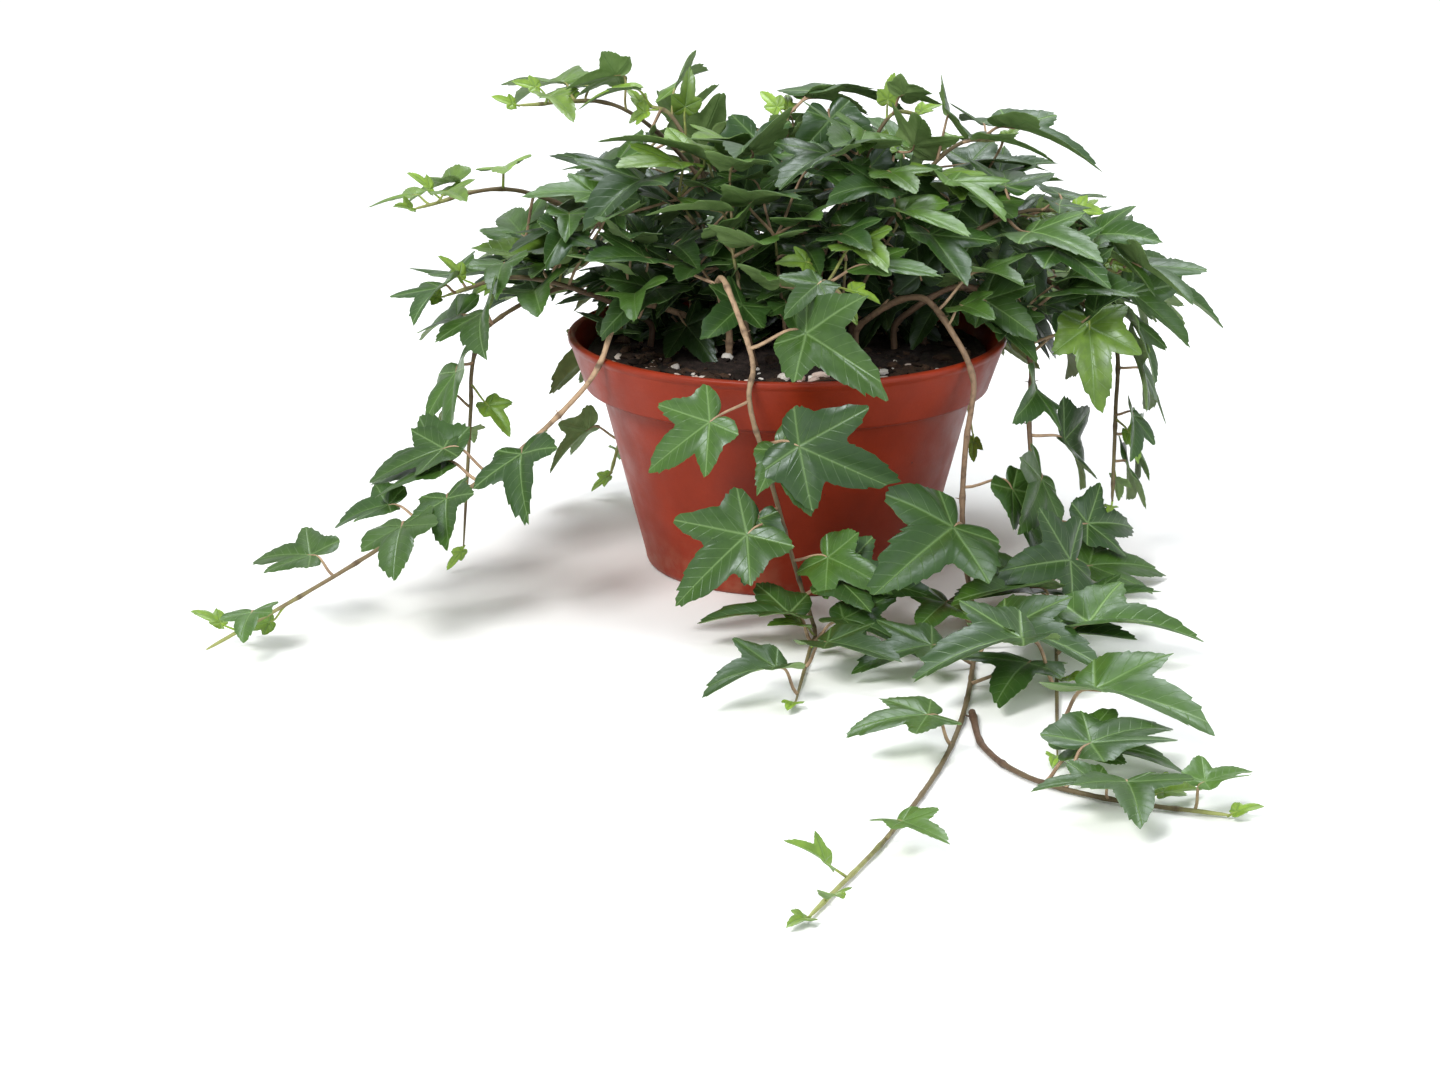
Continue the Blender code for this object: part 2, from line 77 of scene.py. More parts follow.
# --- The leaf's form, for a blade of length 1 ---

# Half of the outline, in arcs from point to point: (degrees off the midrib, distance from the hub).
HALF_OUTLINE = (
    (
        (0, 1.0), (5, 0.90), (10, 0.80), (15, 0.70), (21, 0.58), (26, 0.49), (31, 0.45), (38, 0.53),
        (46, 0.66), (53, 0.75),
    ),
    ((53, 0.75), (59, 0.67), (67, 0.56), (78, 0.45), (90, 0.39), (102, 0.43), (112, 0.47), (121, 0.48)),
    ((121, 0.48), (131, 0.42), (146, 0.33), (163, 0.21), (180, 0.09)),
)
VEIN_ANGLES = (0, 53, 121)
# How the two pairs of side lobes vary: degrees off the midrib, spread in degrees, least and most growth.
LOBE_GROWTH = ((53, 22, 0.72, 1.06), (121, 26, 0.62, 1.05))
OUTLINE_STEPS = 3  # points to each span of the outline
RING_SHARES = (0.2, 0.42, 0.62, 0.8, 0.93, 1.0)  # the rings of corners from the hub to the outline
ROUGH_STEP = 5  # a rough blade takes every fifth point of the outline
ROUGH_FOLD = 0.16
CAD_NOTCH = 0.07  # how far behind the hub a packed leaf's stalk joins
CAD_DROOP = 0.22  # the fall of a packed leaf's tip
STALK_BEND = 0.35  # how far a stalk runs straight on from its ends, as a share of its length
STALK_STEPS = 9
STALK_SIDES = 6
STEM_SIDES = 10
RING_SIDES = 6  # corners in each ring of a packed stem

# --- Sizes of the small things ---

COLLAR_TAPER = 0.006  # how much narrower in radius the collar is at its lower edge
FOOT_INSET = 0.0021  # the width of the foot's round edge
FOOT_ROUND = 0.0035  # and its height
BEAD_HEIGHT = 0.0009  # of the lip's round top
DRAIN_HOLES = 8
DRAIN_INSET = 0.006  # from the foot's flat edge to the near side of a drain hole
SOIL_RIM = 0.0022  # from the packed soil's edge to the finished top's
SKIRT_RADII = (0.0716, 0.0655, 0.0495)  # the soil's sides, clear of the pot's wall all the way down
SKIRT_DROPS = (0.010, 0.0195)  # of its upper two rings, below the soil's top and below the lip
SPRIG_RADII = (0.0009, 0.0006)  # a sprig's, at its foot and its tip
ROOTLET_RADII = (0.00022, 0.00018, 0.00008)
# A stem's last leaves, barely unfolded: metres back from the tip, length, age.
TIP_LEAVES = ((0.0, 0.0085, 0.98), (0.012, 0.0105, 0.9), (0.030, 0.014, 0.72))
FLOOR_ROOM = 0.0008  # a leaf is tried again when it would hang lower
TOO_FAR = 8  # crossings that a leaf is charged for hanging too low or rising too high

# --- Where the leaves grow ---

# The crown's mound: its middle, and how far it reaches to each side, in metres.
CROWN_MIDDLE = Vector((0.010, 0.014, POT_HEIGHT + 0.010))
CROWN_REACH = {"left": 0.104, "right": 0.124, "front": 0.066, "back": 0.094, "up": 0.060}
CROWN_SLOPE = 2.6  # how much the mound falls away to the right, per metre
CROWN_LAYERS = ((1.0, 185), (0.84, 130), (0.66, 90), (0.46, 56), (0.26, 24))  # share of the reach, leaves
UNDERGROWTH = 300  # leaves tried low down among the stems
UNDERGROWTH_FRONT = -0.016  # in front of this the soil lies open
# Boxes with no crown leaf: the soil shows through the first, and the second is a dark hollow.
CROWN_GAPS = (
    (Vector((-0.092, -0.090, 0)), Vector((0.010, 0.004, POT_HEIGHT + 0.018))),
    (Vector((0.010, -0.090, 0)), Vector((0.060, 0.000, POT_HEIGHT + 0.040))),
)
CROWN_FLOOR = 0.007  # the lowest crown leaf, above the lip
CROWN_TWIST = 0.5  # how freely a crown leaf turns, against growing straight outwards
SLOPE_START = 0.03  # how far right of the middle the crown begins to slope down
NEAREST_STEM = 0.007  # the shortest and the longest way from a crown leaf to its stem
FARTHEST_STEM = 0.050

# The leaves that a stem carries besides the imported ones: the shares of the stem where they begin and end,
# the metres between them, and the lengths of the first and the last blade.
RULED_STEMS = {
    "stem_front": (0.34, 0.96, 0.024, 0.034, 0.026),
    "stem_front_right": (0.24, 0.56, 0.022, 0.040, 0.034),
    "stem_right": (0.30, 0.96, 0.022, 0.028, 0.038),
    "stem_fork": (0.45, 0.80, 0.026, 0.034, 0.022),
    "stem_far_right": (0.45, 0.96, 0.018, 0.028, 0.024),
    "stem_front_left": (0.44, 0.68, 0.016, 0.034, 0.026),
    "stem_left": (0.50, 0.96, 0.020, 0.034, 0.026),
    "stem_back_left": (0.34, 0.96, 0.017, 0.036, 0.024),
    "stem_back": (0.26, 0.96, 0.019, 0.038, 0.024),
    "stem_back_right": (0.34, 0.96, 0.016, 0.036, 0.024),
}
SHOOT_RULE = (0.66, 0.98, 0.014, 0.028, 0.020)  # the same for every shoot of the crown
YOUNG_SHOOTS = ("shoot_left", "shoot_top_left", "shoot_top_mid_left")  # with pale new leaves
BROWN_TIPS = ("stem_far_right", "stem_right", "stem_left", "stem_front")  # brown up to their ends
# How pale the older bark is; the other stems are darker.
PALE_STEMS = {"stem_front": 0.75, "stem_front_left": 0.95, "stem_front_right": 0.45, "shoot_left": 0.55}

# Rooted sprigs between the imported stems: (azimuth, metres from the axis) at the soil, then the same with a
# height above the lip for where they bend and where they end under the crown.
SPRIGS = (
    ((0, 0.030), (-4, 0.034, 0.016), (-12, 0.024, 0.040)),
    ((-18, 0.036), (-22, 0.042, 0.014), (-34, 0.036, 0.036)),
    ((25, 0.036), (24, 0.044, 0.012), (30, 0.040, 0.034)),
    ((-40, 0.020), (-60, 0.026, 0.024), (-80, 0.040, 0.050)),
    ((40, 0.024), (52, 0.034, 0.022), (60, 0.046, 0.046)),
    ((100, 0.048), (104, 0.054, 0.020), (108, 0.070, 0.036)),
    ((-100, 0.044), (-104, 0.052, 0.018), (-110, 0.066, 0.032)),
    ((150, 0.040), (146, 0.050, 0.024), (140, 0.062, 0.050)),
    ((-150, 0.036), (-146, 0.048, 0.022), (-140, 0.062, 0.048)),
    ((180, 0.046), (178, 0.056, 0.022), (176, 0.070, 0.040)),
    ((70, 0.010), (80, 0.014, 0.030), (100, 0.026, 0.064)),
    ((-70, 0.016), (-90, 0.020, 0.028), (-120, 0.034, 0.062)),
)


# What a leaf tries, in order, until it is clear: its blade's turn and dip in radians, and what the lengths of
# its stalk and its blade are multiplied by.
LEAF_TRIES = (
    (0, 0, 1, 1), (0.3, 0, 1, 1), (-0.3, 0, 1, 1), (0, 0.3, 1.15, 1), (0, -0.3, 1.15, 1), (0.6, 0.15, 1.2, 1),
    (-0.6, 0.15, 1.2, 1), (0.9, -0.2, 1.1, 0.9), (-0.9, -0.2, 1.1, 0.9), (0.4, 0.5, 1.3, 0.9),
    (-0.4, 0.5, 1.3, 0.9), (0.4, -0.5, 1.3, 0.85), (-0.4, -0.5, 1.3, 0.85), (1.3, 0.2, 1.0, 0.85),
    (-1.3, 0.2, 1.0, 0.85), (0, 0.7, 0.8, 0.8), (0, -0.7, 0.8, 0.8), (0.7, 0, 0.7, 0.75),
    (-0.7, 0, 0.7, 0.75),
)


# --- Settings in the sidebar ---


def length_setting(name, description, default):
    return bpy.props.FloatProperty(name=name, description=description, default=default, unit="LENGTH")


def colour_setting(name, description, default):
    return bpy.props.FloatVectorProperty(
        name=name, description=description, default=default, subtype="COLOR", size=3, min=0, max=1
    )


class PotSettings(bpy.types.PropertyGroup):
    """Sizes and colour of the finished pot."""

    collar_height: length_setting("Collar height", "From the lip down to the ledge", 0.019)
    collar_step: length_setting("Collar step", "How far the collar stands out", 0.006)
    wall: length_setting("Wall", "Thickness of the pot's wall", 0.0018)
    lip_thickness: length_setting("Lip", "Thickness of the lip", 0.0028)
    base_diameter: length_setting("Base diameter", "Across the pot's foot", 0.104)
    drain_diameter: length_setting("Drain holes", "Diameter of a drain hole", 0.008)
    colour: colour_setting("Colour", "The moulded plastic", (0.255, 0.024, 0.006))


class SoilSettings(bpy.types.PropertyGroup):
    """Colours and coarseness of the soil."""

    lump_height: length_setting("Lumps", "Height of the soil's fine lumps", 0.0013)
    colour: colour_setting("Peat", "The moist peat", (0.020, 0.013, 0.011))
    crumbs: bpy.props.IntProperty(name="Bark crumbs", description="How many", default=520, min=0)
    grains: bpy.props.IntProperty(name="Pale grains", description="How many", default=140, min=0)


class StemSettings(bpy.types.PropertyGroup):
    """Form and colours of the stems."""

    knot_spacing: length_setting("Knot spacing", "Between the knots where leaves grew", 0.022)
    knot_swelling: bpy.props.FloatProperty(
        name="Knot swelling", description="How much thicker a knot is", default=0.26, min=0, max=1
    )
    bark: colour_setting("Old bark", "Low on a stem", (0.105, 0.058, 0.034))
    young: colour_setting("Young bark", "Higher on a stem", (0.44, 0.30, 0.185))
    olive: colour_setting("Olive bark", "Half way along a stem", (0.125, 0.098, 0.046))
    tip: colour_setting("Tip", "The last growth", (0.33, 0.36, 0.12))


class LeafSettings(bpy.types.PropertyGroup):
    """Form and colours of the leaves."""

    thickness: bpy.props.FloatProperty(
        name="Thickness", description="Of a leaf's blade", default=0.00042, unit="LENGTH", precision=5
    )
    old: colour_setting("Old leaf", "The darkest leaves", (0.021, 0.056, 0.010))
    grown: colour_setting("Grown leaf", "The middle green", (0.062, 0.138, 0.017))
    young: colour_setting("Young leaf", "The newest leaves", (0.270, 0.430, 0.050))
    underside: colour_setting("Underside", "The pale lower face", (0.210, 0.320, 0.110))
    vein: colour_setting("Vein", "The pale veins", (0.210, 0.340, 0.120))


class StageSettings(bpy.types.PropertyGroup):
    """The camera, the lamps and the floor."""

    camera_place: bpy.props.FloatVectorProperty(
        name="Camera", description="Where the camera stands", default=(-0.0245, -1.24, 0.372),
        subtype="TRANSLATION", size=3,
    )
    camera_pitch: bpy.props.FloatProperty(
        name="Pitch", description="How far the camera looks down", default=math.radians(16.43),
        subtype="ANGLE",
    )
    lens: bpy.props.FloatProperty(
        name="Lens", description="Focal length in millimetres", default=87.05, min=1
    )
    floor_colour: colour_setting("Floor", "The pale floor", (0.93, 0.93, 0.93))


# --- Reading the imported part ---


def round_the_pot(azimuth, radius, height):
    angle = math.radians(azimuth)
    return Vector((radius * math.sin(angle), -radius * math.cos(angle), height))


def merged_mesh(node):
    """The node's corners, each once, and for each the numbers of the corners that an edge joins it to."""
    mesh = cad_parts[node].data
    numbers = {}
    rounded = [tuple(round(c, 6) for c in corner.co) for corner in mesh.vertices]
    index = [numbers.setdefault(place, len(numbers)) for place in rounded]
    linked = [set() for _ in numbers]
    for edge in mesh.edges:
        first, second = (index[corner] for corner in edge.vertices)
        if first != second:
            linked[first].add(second)
            linked[second].add(first)
    return [Vector(place) for place in numbers], linked


def layers_from(start, linked):
    """The corners in layers, each one edge further from the start."""
    layers, seen = [set(start)], set(start)
    while layers[-1]:
        following = set().union(*(linked[corner] for corner in layers[-1])) - seen
        seen |= following
        layers.append(following)
    return layers[:-1]


def centreline(node):
    """The rings of a packed stem as (centre, radius), from its thick end to its tip."""
    places, linked = merged_mesh(node)
    end = min(layers_from([0], linked)[-1])
    first_ring = sorted(range(len(places)), key=lambda corner: (places[corner] - places[end]).length)
    line = []
    for layer in layers_from(first_ring[:RING_SIDES], linked):
        corners = [places[corner] for corner in layer]
        centre = sum(corners, Vector()) / len(corners)
        line.append((centre, sum((corner - centre).length for corner in corners) / len(corners)))
    return line if line[0][1] > line[-1][1] else line[::-1]


def catmull(before, start, end, after, t):
    linear = end - before
    square = 2 * before - 5 * start + 4 * end - after
    cube = 3 * (start - end) + after - before
    return start + 0.5 * (linear * t + square * t * t + cube * t ** 3)


def smoothed(points, steps):
    """Points along a smooth curve through the given ones, so many steps to each span."""
    ends = [2 * points[0] - points[1], *points, 2 * points[-1] - points[-2]]
    curve = []
    for four in zip(ends, ends[1:], ends[2:], ends[3:]):
        curve += [catmull(*four, step / steps) for step in range(steps)]
    return curve + [points[-1]]


class Stem:
    """A stem's smooth centreline, from its root to its tip."""

    def __init__(self, line, steps=4):
        self.path = smoothed([centre for centre, radius in line], steps)
        count = len(self.path) - 1
        thick, thin = line[0][1], line[-1][1]
        self.radii = [thick + (thin - thick) * (number / count) ** 0.7 for number in range(count + 1)]
        self.length = sum((b - a).length for a, b in zip(self.path, self.path[1:]))

    def at(self, share):
        """The place, direction and radius at a share of the length."""
        place = min(max(share, 0), 1) * (len(self.path) - 1)
        index = min(int(place), len(self.path) - 2)
        start, end = self.path[index], self.path[index + 1]
        return start.lerp(end, place - index), (end - start).normalized(), self.radii[index]

    def nearest_share(self, place):
        """The share along the stem that lies nearest to a place."""
        nearest = min(range(len(self.path)), key=lambda number: (self.path[number] - place).length)
        return nearest / (len(self.path) - 1)


def stem_of(leaf):
    """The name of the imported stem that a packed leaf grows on."""
    name = leaf.removeprefix("leaf_").rsplit("_", 1)[0]
    return name if name in STEMS else f"stem_{name}"


# --- Meshes and nodes ---


class Form:
    """Corners and faces gathered from many small shapes, with two vectors kept at each corner."""

    def __init__(self):
        self.corners, self.faces, self.places, self.tones = [], [], [], []

    def add(self, corners, faces, places, tone):
        start = len(self.corners)
        self.corners += [tuple(corner) for corner in corners]
        self.faces += [tuple(start + corner for corner in face) for face in faces]
        self.places += [tuple(place) for place in places]
        self.tones += [tuple(tone)] * len(corners)

    def made(self, name, material, sharp=55):
        mesh = bpy.data.meshes.new(name)
        mesh.from_pydata(self.corners, [], self.faces)
        for title, values in (("growth", self.places), ("tone", self.tones)):
            attribute = mesh.attributes.new(title, "FLOAT_VECTOR", "POINT")
            attribute.data.foreach_set("vector", np.array(values, np.float32).ravel())
        mesh.shade_smooth()
        mesh.set_sharp_from_angle(angle=math.radians(sharp))
        return placed(name, mesh, material)


def placed(name, mesh, material):
    """The mesh as a piece that rides on the part's one body."""
    mesh.materials.append(material)
    piece = bpy.data.objects.new(name, mesh)
    bpy.context.scene.collection.objects.link(piece)
    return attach(piece, "root")


class Recipe:
    """A material under construction: each method adds one node and returns its output."""

    def __init__(self, name):
        self.material = bpy.data.materials.new(name)
        self.material.use_nodes = True
        self.nodes = self.material.node_tree.nodes
        self.links = self.material.node_tree.links
        self.shader = self.nodes["Principled BSDF"]

    def feed(self, value, socket):
        if isinstance(value, bpy.types.NodeSocket):
            self.links.new(value, socket)
        else:
            socket.default_value = value

    def feed_colour(self, colour, socket):
        self.feed(colour if isinstance(colour, bpy.types.NodeSocket) else (*colour[:3], 1), socket)

    def math(self, operation, *values, clamp=False):
        node = self.nodes.new("ShaderNodeMath")
        node.operation = operation
        node.use_clamp = clamp
        for value, socket in zip(values, node.inputs):
            self.feed(value, socket)
        return node.outputs[0]

    def plus(self, first, second):
        return self.math("ADD", first, second)

    def minus(self, first, second, clamp=False):
        return self.math("SUBTRACT", first, second, clamp=clamp)

    def times(self, first, second, clamp=False):
        return self.math("MULTIPLY", first, second, clamp=clamp)

    def mix(self, share, first, second, blend="MIX"):
        node = self.nodes.new("ShaderNodeMix")
        node.data_type = "RGBA"
        node.blend_type = blend
        self.feed(share, node.inputs["Factor"])
        self.feed_colour(first, node.inputs["A"])
        self.feed_colour(second, node.inputs["B"])
        return node.outputs["Result"]

    def span(self, value, low, high, to_low=0.0, to_high=1.0):
        """The value carried from one span onto another, held at its ends."""
        node = self.nodes.new("ShaderNodeMapRange")
        node.interpolation_type = "SMOOTHSTEP"
        self.feed(value, node.inputs["Value"])
        for title, number in zip(("From Min", "From Max", "To Min", "To Max"), (low, high, to_low, to_high)):
            node.inputs[title].default_value = number
        return node.outputs["Result"]

    def where(self):
        return self.nodes.new("ShaderNodeTexCoord").outputs["Object"]

    def stretched(self, place, scale):
        node = self.nodes.new("ShaderNodeMapping")
        node.vector_type = "POINT"
        self.links.new(place, node.inputs["Vector"])
        node.inputs["Scale"].default_value = scale
        return node.outputs["Vector"]

    def noise(self, place, scale, detail=3.0, roughness=0.55):
        node = self.nodes.new("ShaderNodeTexNoise")
        self.links.new(place, node.inputs["Vector"])
        node.inputs["Scale"].default_value = scale
        node.inputs["Detail"].default_value = detail
        node.inputs["Roughness"].default_value = roughness
        return node.outputs["Fac"]

    def cells(self, place, scale):
        node = self.nodes.new("ShaderNodeTexVoronoi")
        self.links.new(place, node.inputs["Vector"])
        node.inputs["Scale"].default_value = scale
        return node.outputs["Distance"]

    def kept(self, title):
        """The x, y and z of a vector kept at each corner."""
        node = self.nodes.new("ShaderNodeAttribute")
        node.attribute_name = title
        apart = self.nodes.new("ShaderNodeSeparateXYZ")
        self.links.new(node.outputs["Vector"], apart.inputs[0])
        return apart.outputs

    def heights(self, place):
        apart = self.nodes.new("ShaderNodeSeparateXYZ")
        self.links.new(place, apart.inputs[0])
        return apart.outputs["Z"]

    def grey(self, shade):
        """A grey as bright as the shade, for multiplying a colour by it."""
        node = self.nodes.new("ShaderNodeCombineColor")
        for socket in node.inputs[:3]:
            self.links.new(shade, socket)
        return node.outputs["Color"]

    def bump(self, height, distance, strength=1.0):
        node = self.nodes.new("ShaderNodeBump")
        node.inputs["Strength"].default_value = strength
        node.inputs["Distance"].default_value = distance
        self.links.new(height, node.inputs["Height"])
        self.links.new(node.outputs["Normal"], self.shader.inputs["Normal"])

    def finish(self, colour, roughness, specular=0.5):
        self.feed_colour(colour, self.shader.inputs["Base Color"])
        self.feed(roughness, self.shader.inputs["Roughness"])
        self.shader.inputs["Specular IOR Level"].default_value = specular
        return self.material


# --- Finishes ---


def terracotta_plastic(settings):
    """Satin moulded plastic: a little mottled, with faint rings from the mould and dust low down."""
    recipe = Recipe("terracotta_plastic")
    place = recipe.where()
    height = recipe.heights(place)
    base = Vector(settings.colour)
    cloudy = recipe.noise(place, 55, 4)
    colour = recipe.mix(recipe.span(cloudy, 0.3, 0.7), base * 0.88, base * 1.1)
    grain = recipe.noise(place, 1400, 2)
    colour = recipe.mix(recipe.span(grain, 0.35, 0.75, 0, 0.25), colour, base * 0.72)
    low_down = recipe.span(height, 0.0, 0.022, 0.32, 0.0)
    dust = recipe.times(low_down, recipe.span(recipe.noise(place, 160, 5), 0.35, 0.7))
    colour = recipe.mix(dust, colour, (0.36, 0.17, 0.10))
    specks = recipe.span(recipe.cells(place, 150), 0.03, 0.075, 0.75, 0.0)
    rare = recipe.span(recipe.noise(place, 38, 1), 0.60, 0.66)
    colour = recipe.mix(recipe.times(specks, rare), colour, (0.03, 0.014, 0.01))
    under_ledge = POT_HEIGHT - settings.collar_height
    # Painted shade: a dark line just under the collar's ledge, where the overhang shades the body.
    ledge_shade_band = recipe.math("ABSOLUTE", recipe.minus(height, under_ledge - 0.0008))
    colour = recipe.mix(recipe.span(ledge_shade_band, 0.0, 0.0016, 0.6, 0.0), colour, base * 0.3)
    rings = recipe.noise(recipe.stretched(place, (3, 3, 900)), 1, 2)
    skin = recipe.plus(recipe.times(rings, 0.6), recipe.times(grain, 0.5))
    recipe.bump(skin, 0.00012, 0.5)
    rough = recipe.span(recipe.noise(place, 90, 4), 0.3, 0.7, 0.36, 0.52)
    return recipe.finish(colour, rough, 0.25)


def potting_soil(settings):
    recipe = Recipe("potting_soil")
    place = recipe.where()
    base = Vector(settings.colour)
    clods = recipe.noise(place, 260, 6, 0.65)
    fibres = recipe.noise(recipe.stretched(place, (1.0, 3.0, 1.0)), 700, 3)
    colour = recipe.mix(recipe.span(clods, 0.35, 0.68), base * 0.55, base * 2.1)
    colour = recipe.mix(recipe.span(fibres, 0.62, 0.74, 0, 0.6), colour, (0.09, 0.05, 0.03))
    recipe.bump(recipe.plus(clods, recipe.times(fibres, 0.5)), 0.0012, 0.9)
    return recipe.finish(colour, recipe.span(clods, 0.3, 0.7, 0.75, 0.97), 0.3)


def bark_crumb():
    recipe = Recipe("bark_crumb")
    place = recipe.where()
    shade = recipe.kept("tone")[0]
    colour = recipe.mix(shade, (0.014, 0.009, 0.007), (0.085, 0.045, 0.026))
    streaks = recipe.noise(recipe.stretched(place, (1, 1, 4)), 900, 4)
    colour = recipe.mix(recipe.span(streaks, 0.4, 0.7, 0, 0.6), colour, (0.010, 0.007, 0.006))
    recipe.bump(streaks, 0.0004, 0.8)
    return recipe.finish(colour, 0.86, 0.3)


def pale_grain():
    recipe = Recipe("pale_grain")
    place = recipe.where()
    shade = recipe.kept("tone")[0]
    colour = recipe.mix(shade, (0.80, 0.77, 0.72), (0.52, 0.36, 0.30))
    pores = recipe.cells(place, 2600)
    colour = recipe.mix(recipe.span(pores, 0.0, 0.25, 0.45, 0.0), colour, (0.22, 0.15, 0.12))
    recipe.bump(pores, 0.0002, 0.9)
    return recipe.finish(colour, 0.9, 0.3)


def ivy_stem(settings):
    """Bark that turns from dark at the root through tan to green at the tip, with fine lengthwise cracks."""
    recipe = Recipe("ivy_stem")
    place = recipe.where()
    growth = recipe.kept("growth")
    tone = recipe.kept("tone")
    blotches = recipe.noise(place, 120, 3)
    wander = recipe.times(recipe.minus(blotches, 0.5), 0.35)
    age = recipe.plus(growth[0], wander)
    colour = recipe.mix(recipe.span(tone[0], 0.0, 1.0), settings.bark, settings.young)
    dark_bark = recipe.span(recipe.noise(place, 420, 4), 0.45, 0.72, 0.0, 0.55)
    colour = recipe.mix(dark_bark, colour, Vector(settings.bark) * 0.45)
    colour = recipe.mix(recipe.span(age, 0.34, 0.62, 0.0, 0.8), colour, settings.olive)
    greenness = recipe.times(recipe.span(age, 0.80, 1.0), tone[1])
    colour = recipe.mix(greenness, colour, settings.tip)
    colour = recipe.mix(recipe.span(growth[2], 0.2, 1.0, 0, 0.7), colour, Vector(settings.bark) * 0.6)
    cracks = recipe.noise(recipe.stretched(place, (1, 1, 0.25)), 1900, 3)
    recipe.bump(cracks, 0.0003, 0.6)
    return recipe.finish(colour, recipe.span(cracks, 0.3, 0.7, 0.5, 0.75), 0.4)


def vein_strength(recipe, across, ahead):
    """Pale main veins to the tip of each lobe, finer side veins off them, and the blade between them."""
    main, side, nearest = None, None, None
    for angle in VEIN_ANGLES:
        sine, cosine = math.sin(math.radians(angle)), math.cos(math.radians(angle))
        along = recipe.plus(recipe.times(across, sine), recipe.times(ahead, cosine))
        off = recipe.minus(recipe.times(across, cosine), recipe.times(ahead, sine))
        off = recipe.math("ABSOLUTE", off)
        forward = recipe.span(along, -0.01, 0.02)
        width = recipe.math("MAXIMUM", recipe.minus(0.020, recipe.times(along, 0.014)), 0.006)
        line = recipe.minus(1.0, recipe.math("DIVIDE", off, width), clamp=True)
        line = recipe.times(line, forward)
        comb = recipe.times(recipe.minus(along, recipe.times(off, 1.15)), 7.5)
        tooth = recipe.math("ABSOLUTE", recipe.minus(recipe.math("FRACT", comb), 0.5))
        branch = recipe.span(tooth, 0.0, 0.055, 1.0, 0.0)
        fading = recipe.span(off, 0.02, 0.24, 1.0, 0.15)
        branch = recipe.times(recipe.times(branch, fading), forward)
        away = recipe.plus(off, recipe.span(along, -0.02, 0.02, 1.0, 0.0))
        if main is None:
            main, side, nearest = line, branch, away
            continue
        closer = recipe.math("LESS_THAN", away, nearest)
        further = recipe.minus(1.0, closer)
        side = recipe.plus(recipe.times(branch, closer), recipe.times(side, further))
        main = recipe.math("MAXIMUM", main, line)
        nearest = recipe.math("MINIMUM", nearest, away)
    return main, side, nearest


def ivy_leaf(settings, bark):
    """Waxy green with pale veins, paler below, from dark when old to yellow-green when just unfolded."""
    recipe = Recipe("ivy_leaf")
    place = recipe.where()
    across, ahead, kind = recipe.kept("growth")
    age, shade, marking = recipe.kept("tone")
    main, side, nearest = vein_strength(recipe, recipe.math("ABSOLUTE", across), ahead)
    patches = recipe.noise(place, 210, 4)
    colour = recipe.mix(recipe.span(age, 0.0, 0.45), settings.old, settings.grown)
    colour = recipe.mix(recipe.span(age, 0.4, 1.0), colour, settings.young)
    colour = recipe.mix(recipe.span(patches, 0.35, 0.7, 0.0, 0.35), colour, Vector(settings.old) * 0.8)
    between = recipe.times(recipe.span(nearest, 0.02, 0.2, 0.0, 0.4), marking)
    colour = recipe.mix(between, colour, Vector(settings.old) * 0.9)
    rim = recipe.span(nearest, 0.0, 0.10, 0.30, 0.0)
    colour = recipe.mix(rim, colour, settings.grown)
    speckle = recipe.span(recipe.noise(place, 1500, 2), 0.55, 0.8, 0.0, 0.22)
    colour = recipe.mix(speckle, colour, settings.grown)
    colour = recipe.mix(recipe.times(side, recipe.times(marking, 0.32)), colour, settings.vein)
    strong = recipe.math("MULTIPLY_ADD", marking, 0.65, 0.12)
    colour = recipe.mix(recipe.times(main, strong), colour, settings.vein)
    # Painted shade: the colour is multiplied by the leaf's shade value, which is darker for inner and low
    # leaves as if shaded by the crown, times a random brightness of each leaf's own.
    colour = recipe.mix(1.0, colour, recipe.grey(shade), "MULTIPLY")
    below = recipe.mix(recipe.times(main, 0.6), settings.underside, settings.vein)
    below = recipe.mix(recipe.span(patches, 0.3, 0.7, 0.0, 0.35), below, settings.grown)
    colour = recipe.mix(recipe.times(kind, 1.0, clamp=True), colour, below)
    stalk = recipe.mix(recipe.span(age, 0.3, 0.9), bark.young, settings.young)
    stalk = recipe.mix(recipe.span(patches, 0.35, 0.65, 0.0, 0.6), stalk, Vector(bark.bark) * 1.3)
    colour = recipe.mix(recipe.minus(kind, 1.0, clamp=True), colour, stalk)
    relief = recipe.minus(recipe.times(patches, 0.5), recipe.times(main, 0.8))
    relief = recipe.minus(relief, recipe.times(side, 0.35))
    recipe.bump(relief, 0.0004, 0.55)
    wax = recipe.span(recipe.noise(place, 300, 3), 0.3, 0.7, 0.29, 0.44)
    rough = recipe.plus(wax, recipe.times(recipe.times(kind, 1.0, clamp=True), 0.25))
    recipe.shader.inputs["Specular Tint"].default_value = (0.86, 0.94, 1.0, 1)
    return recipe.finish(colour, rough, 0.46)


# --- The pot ---


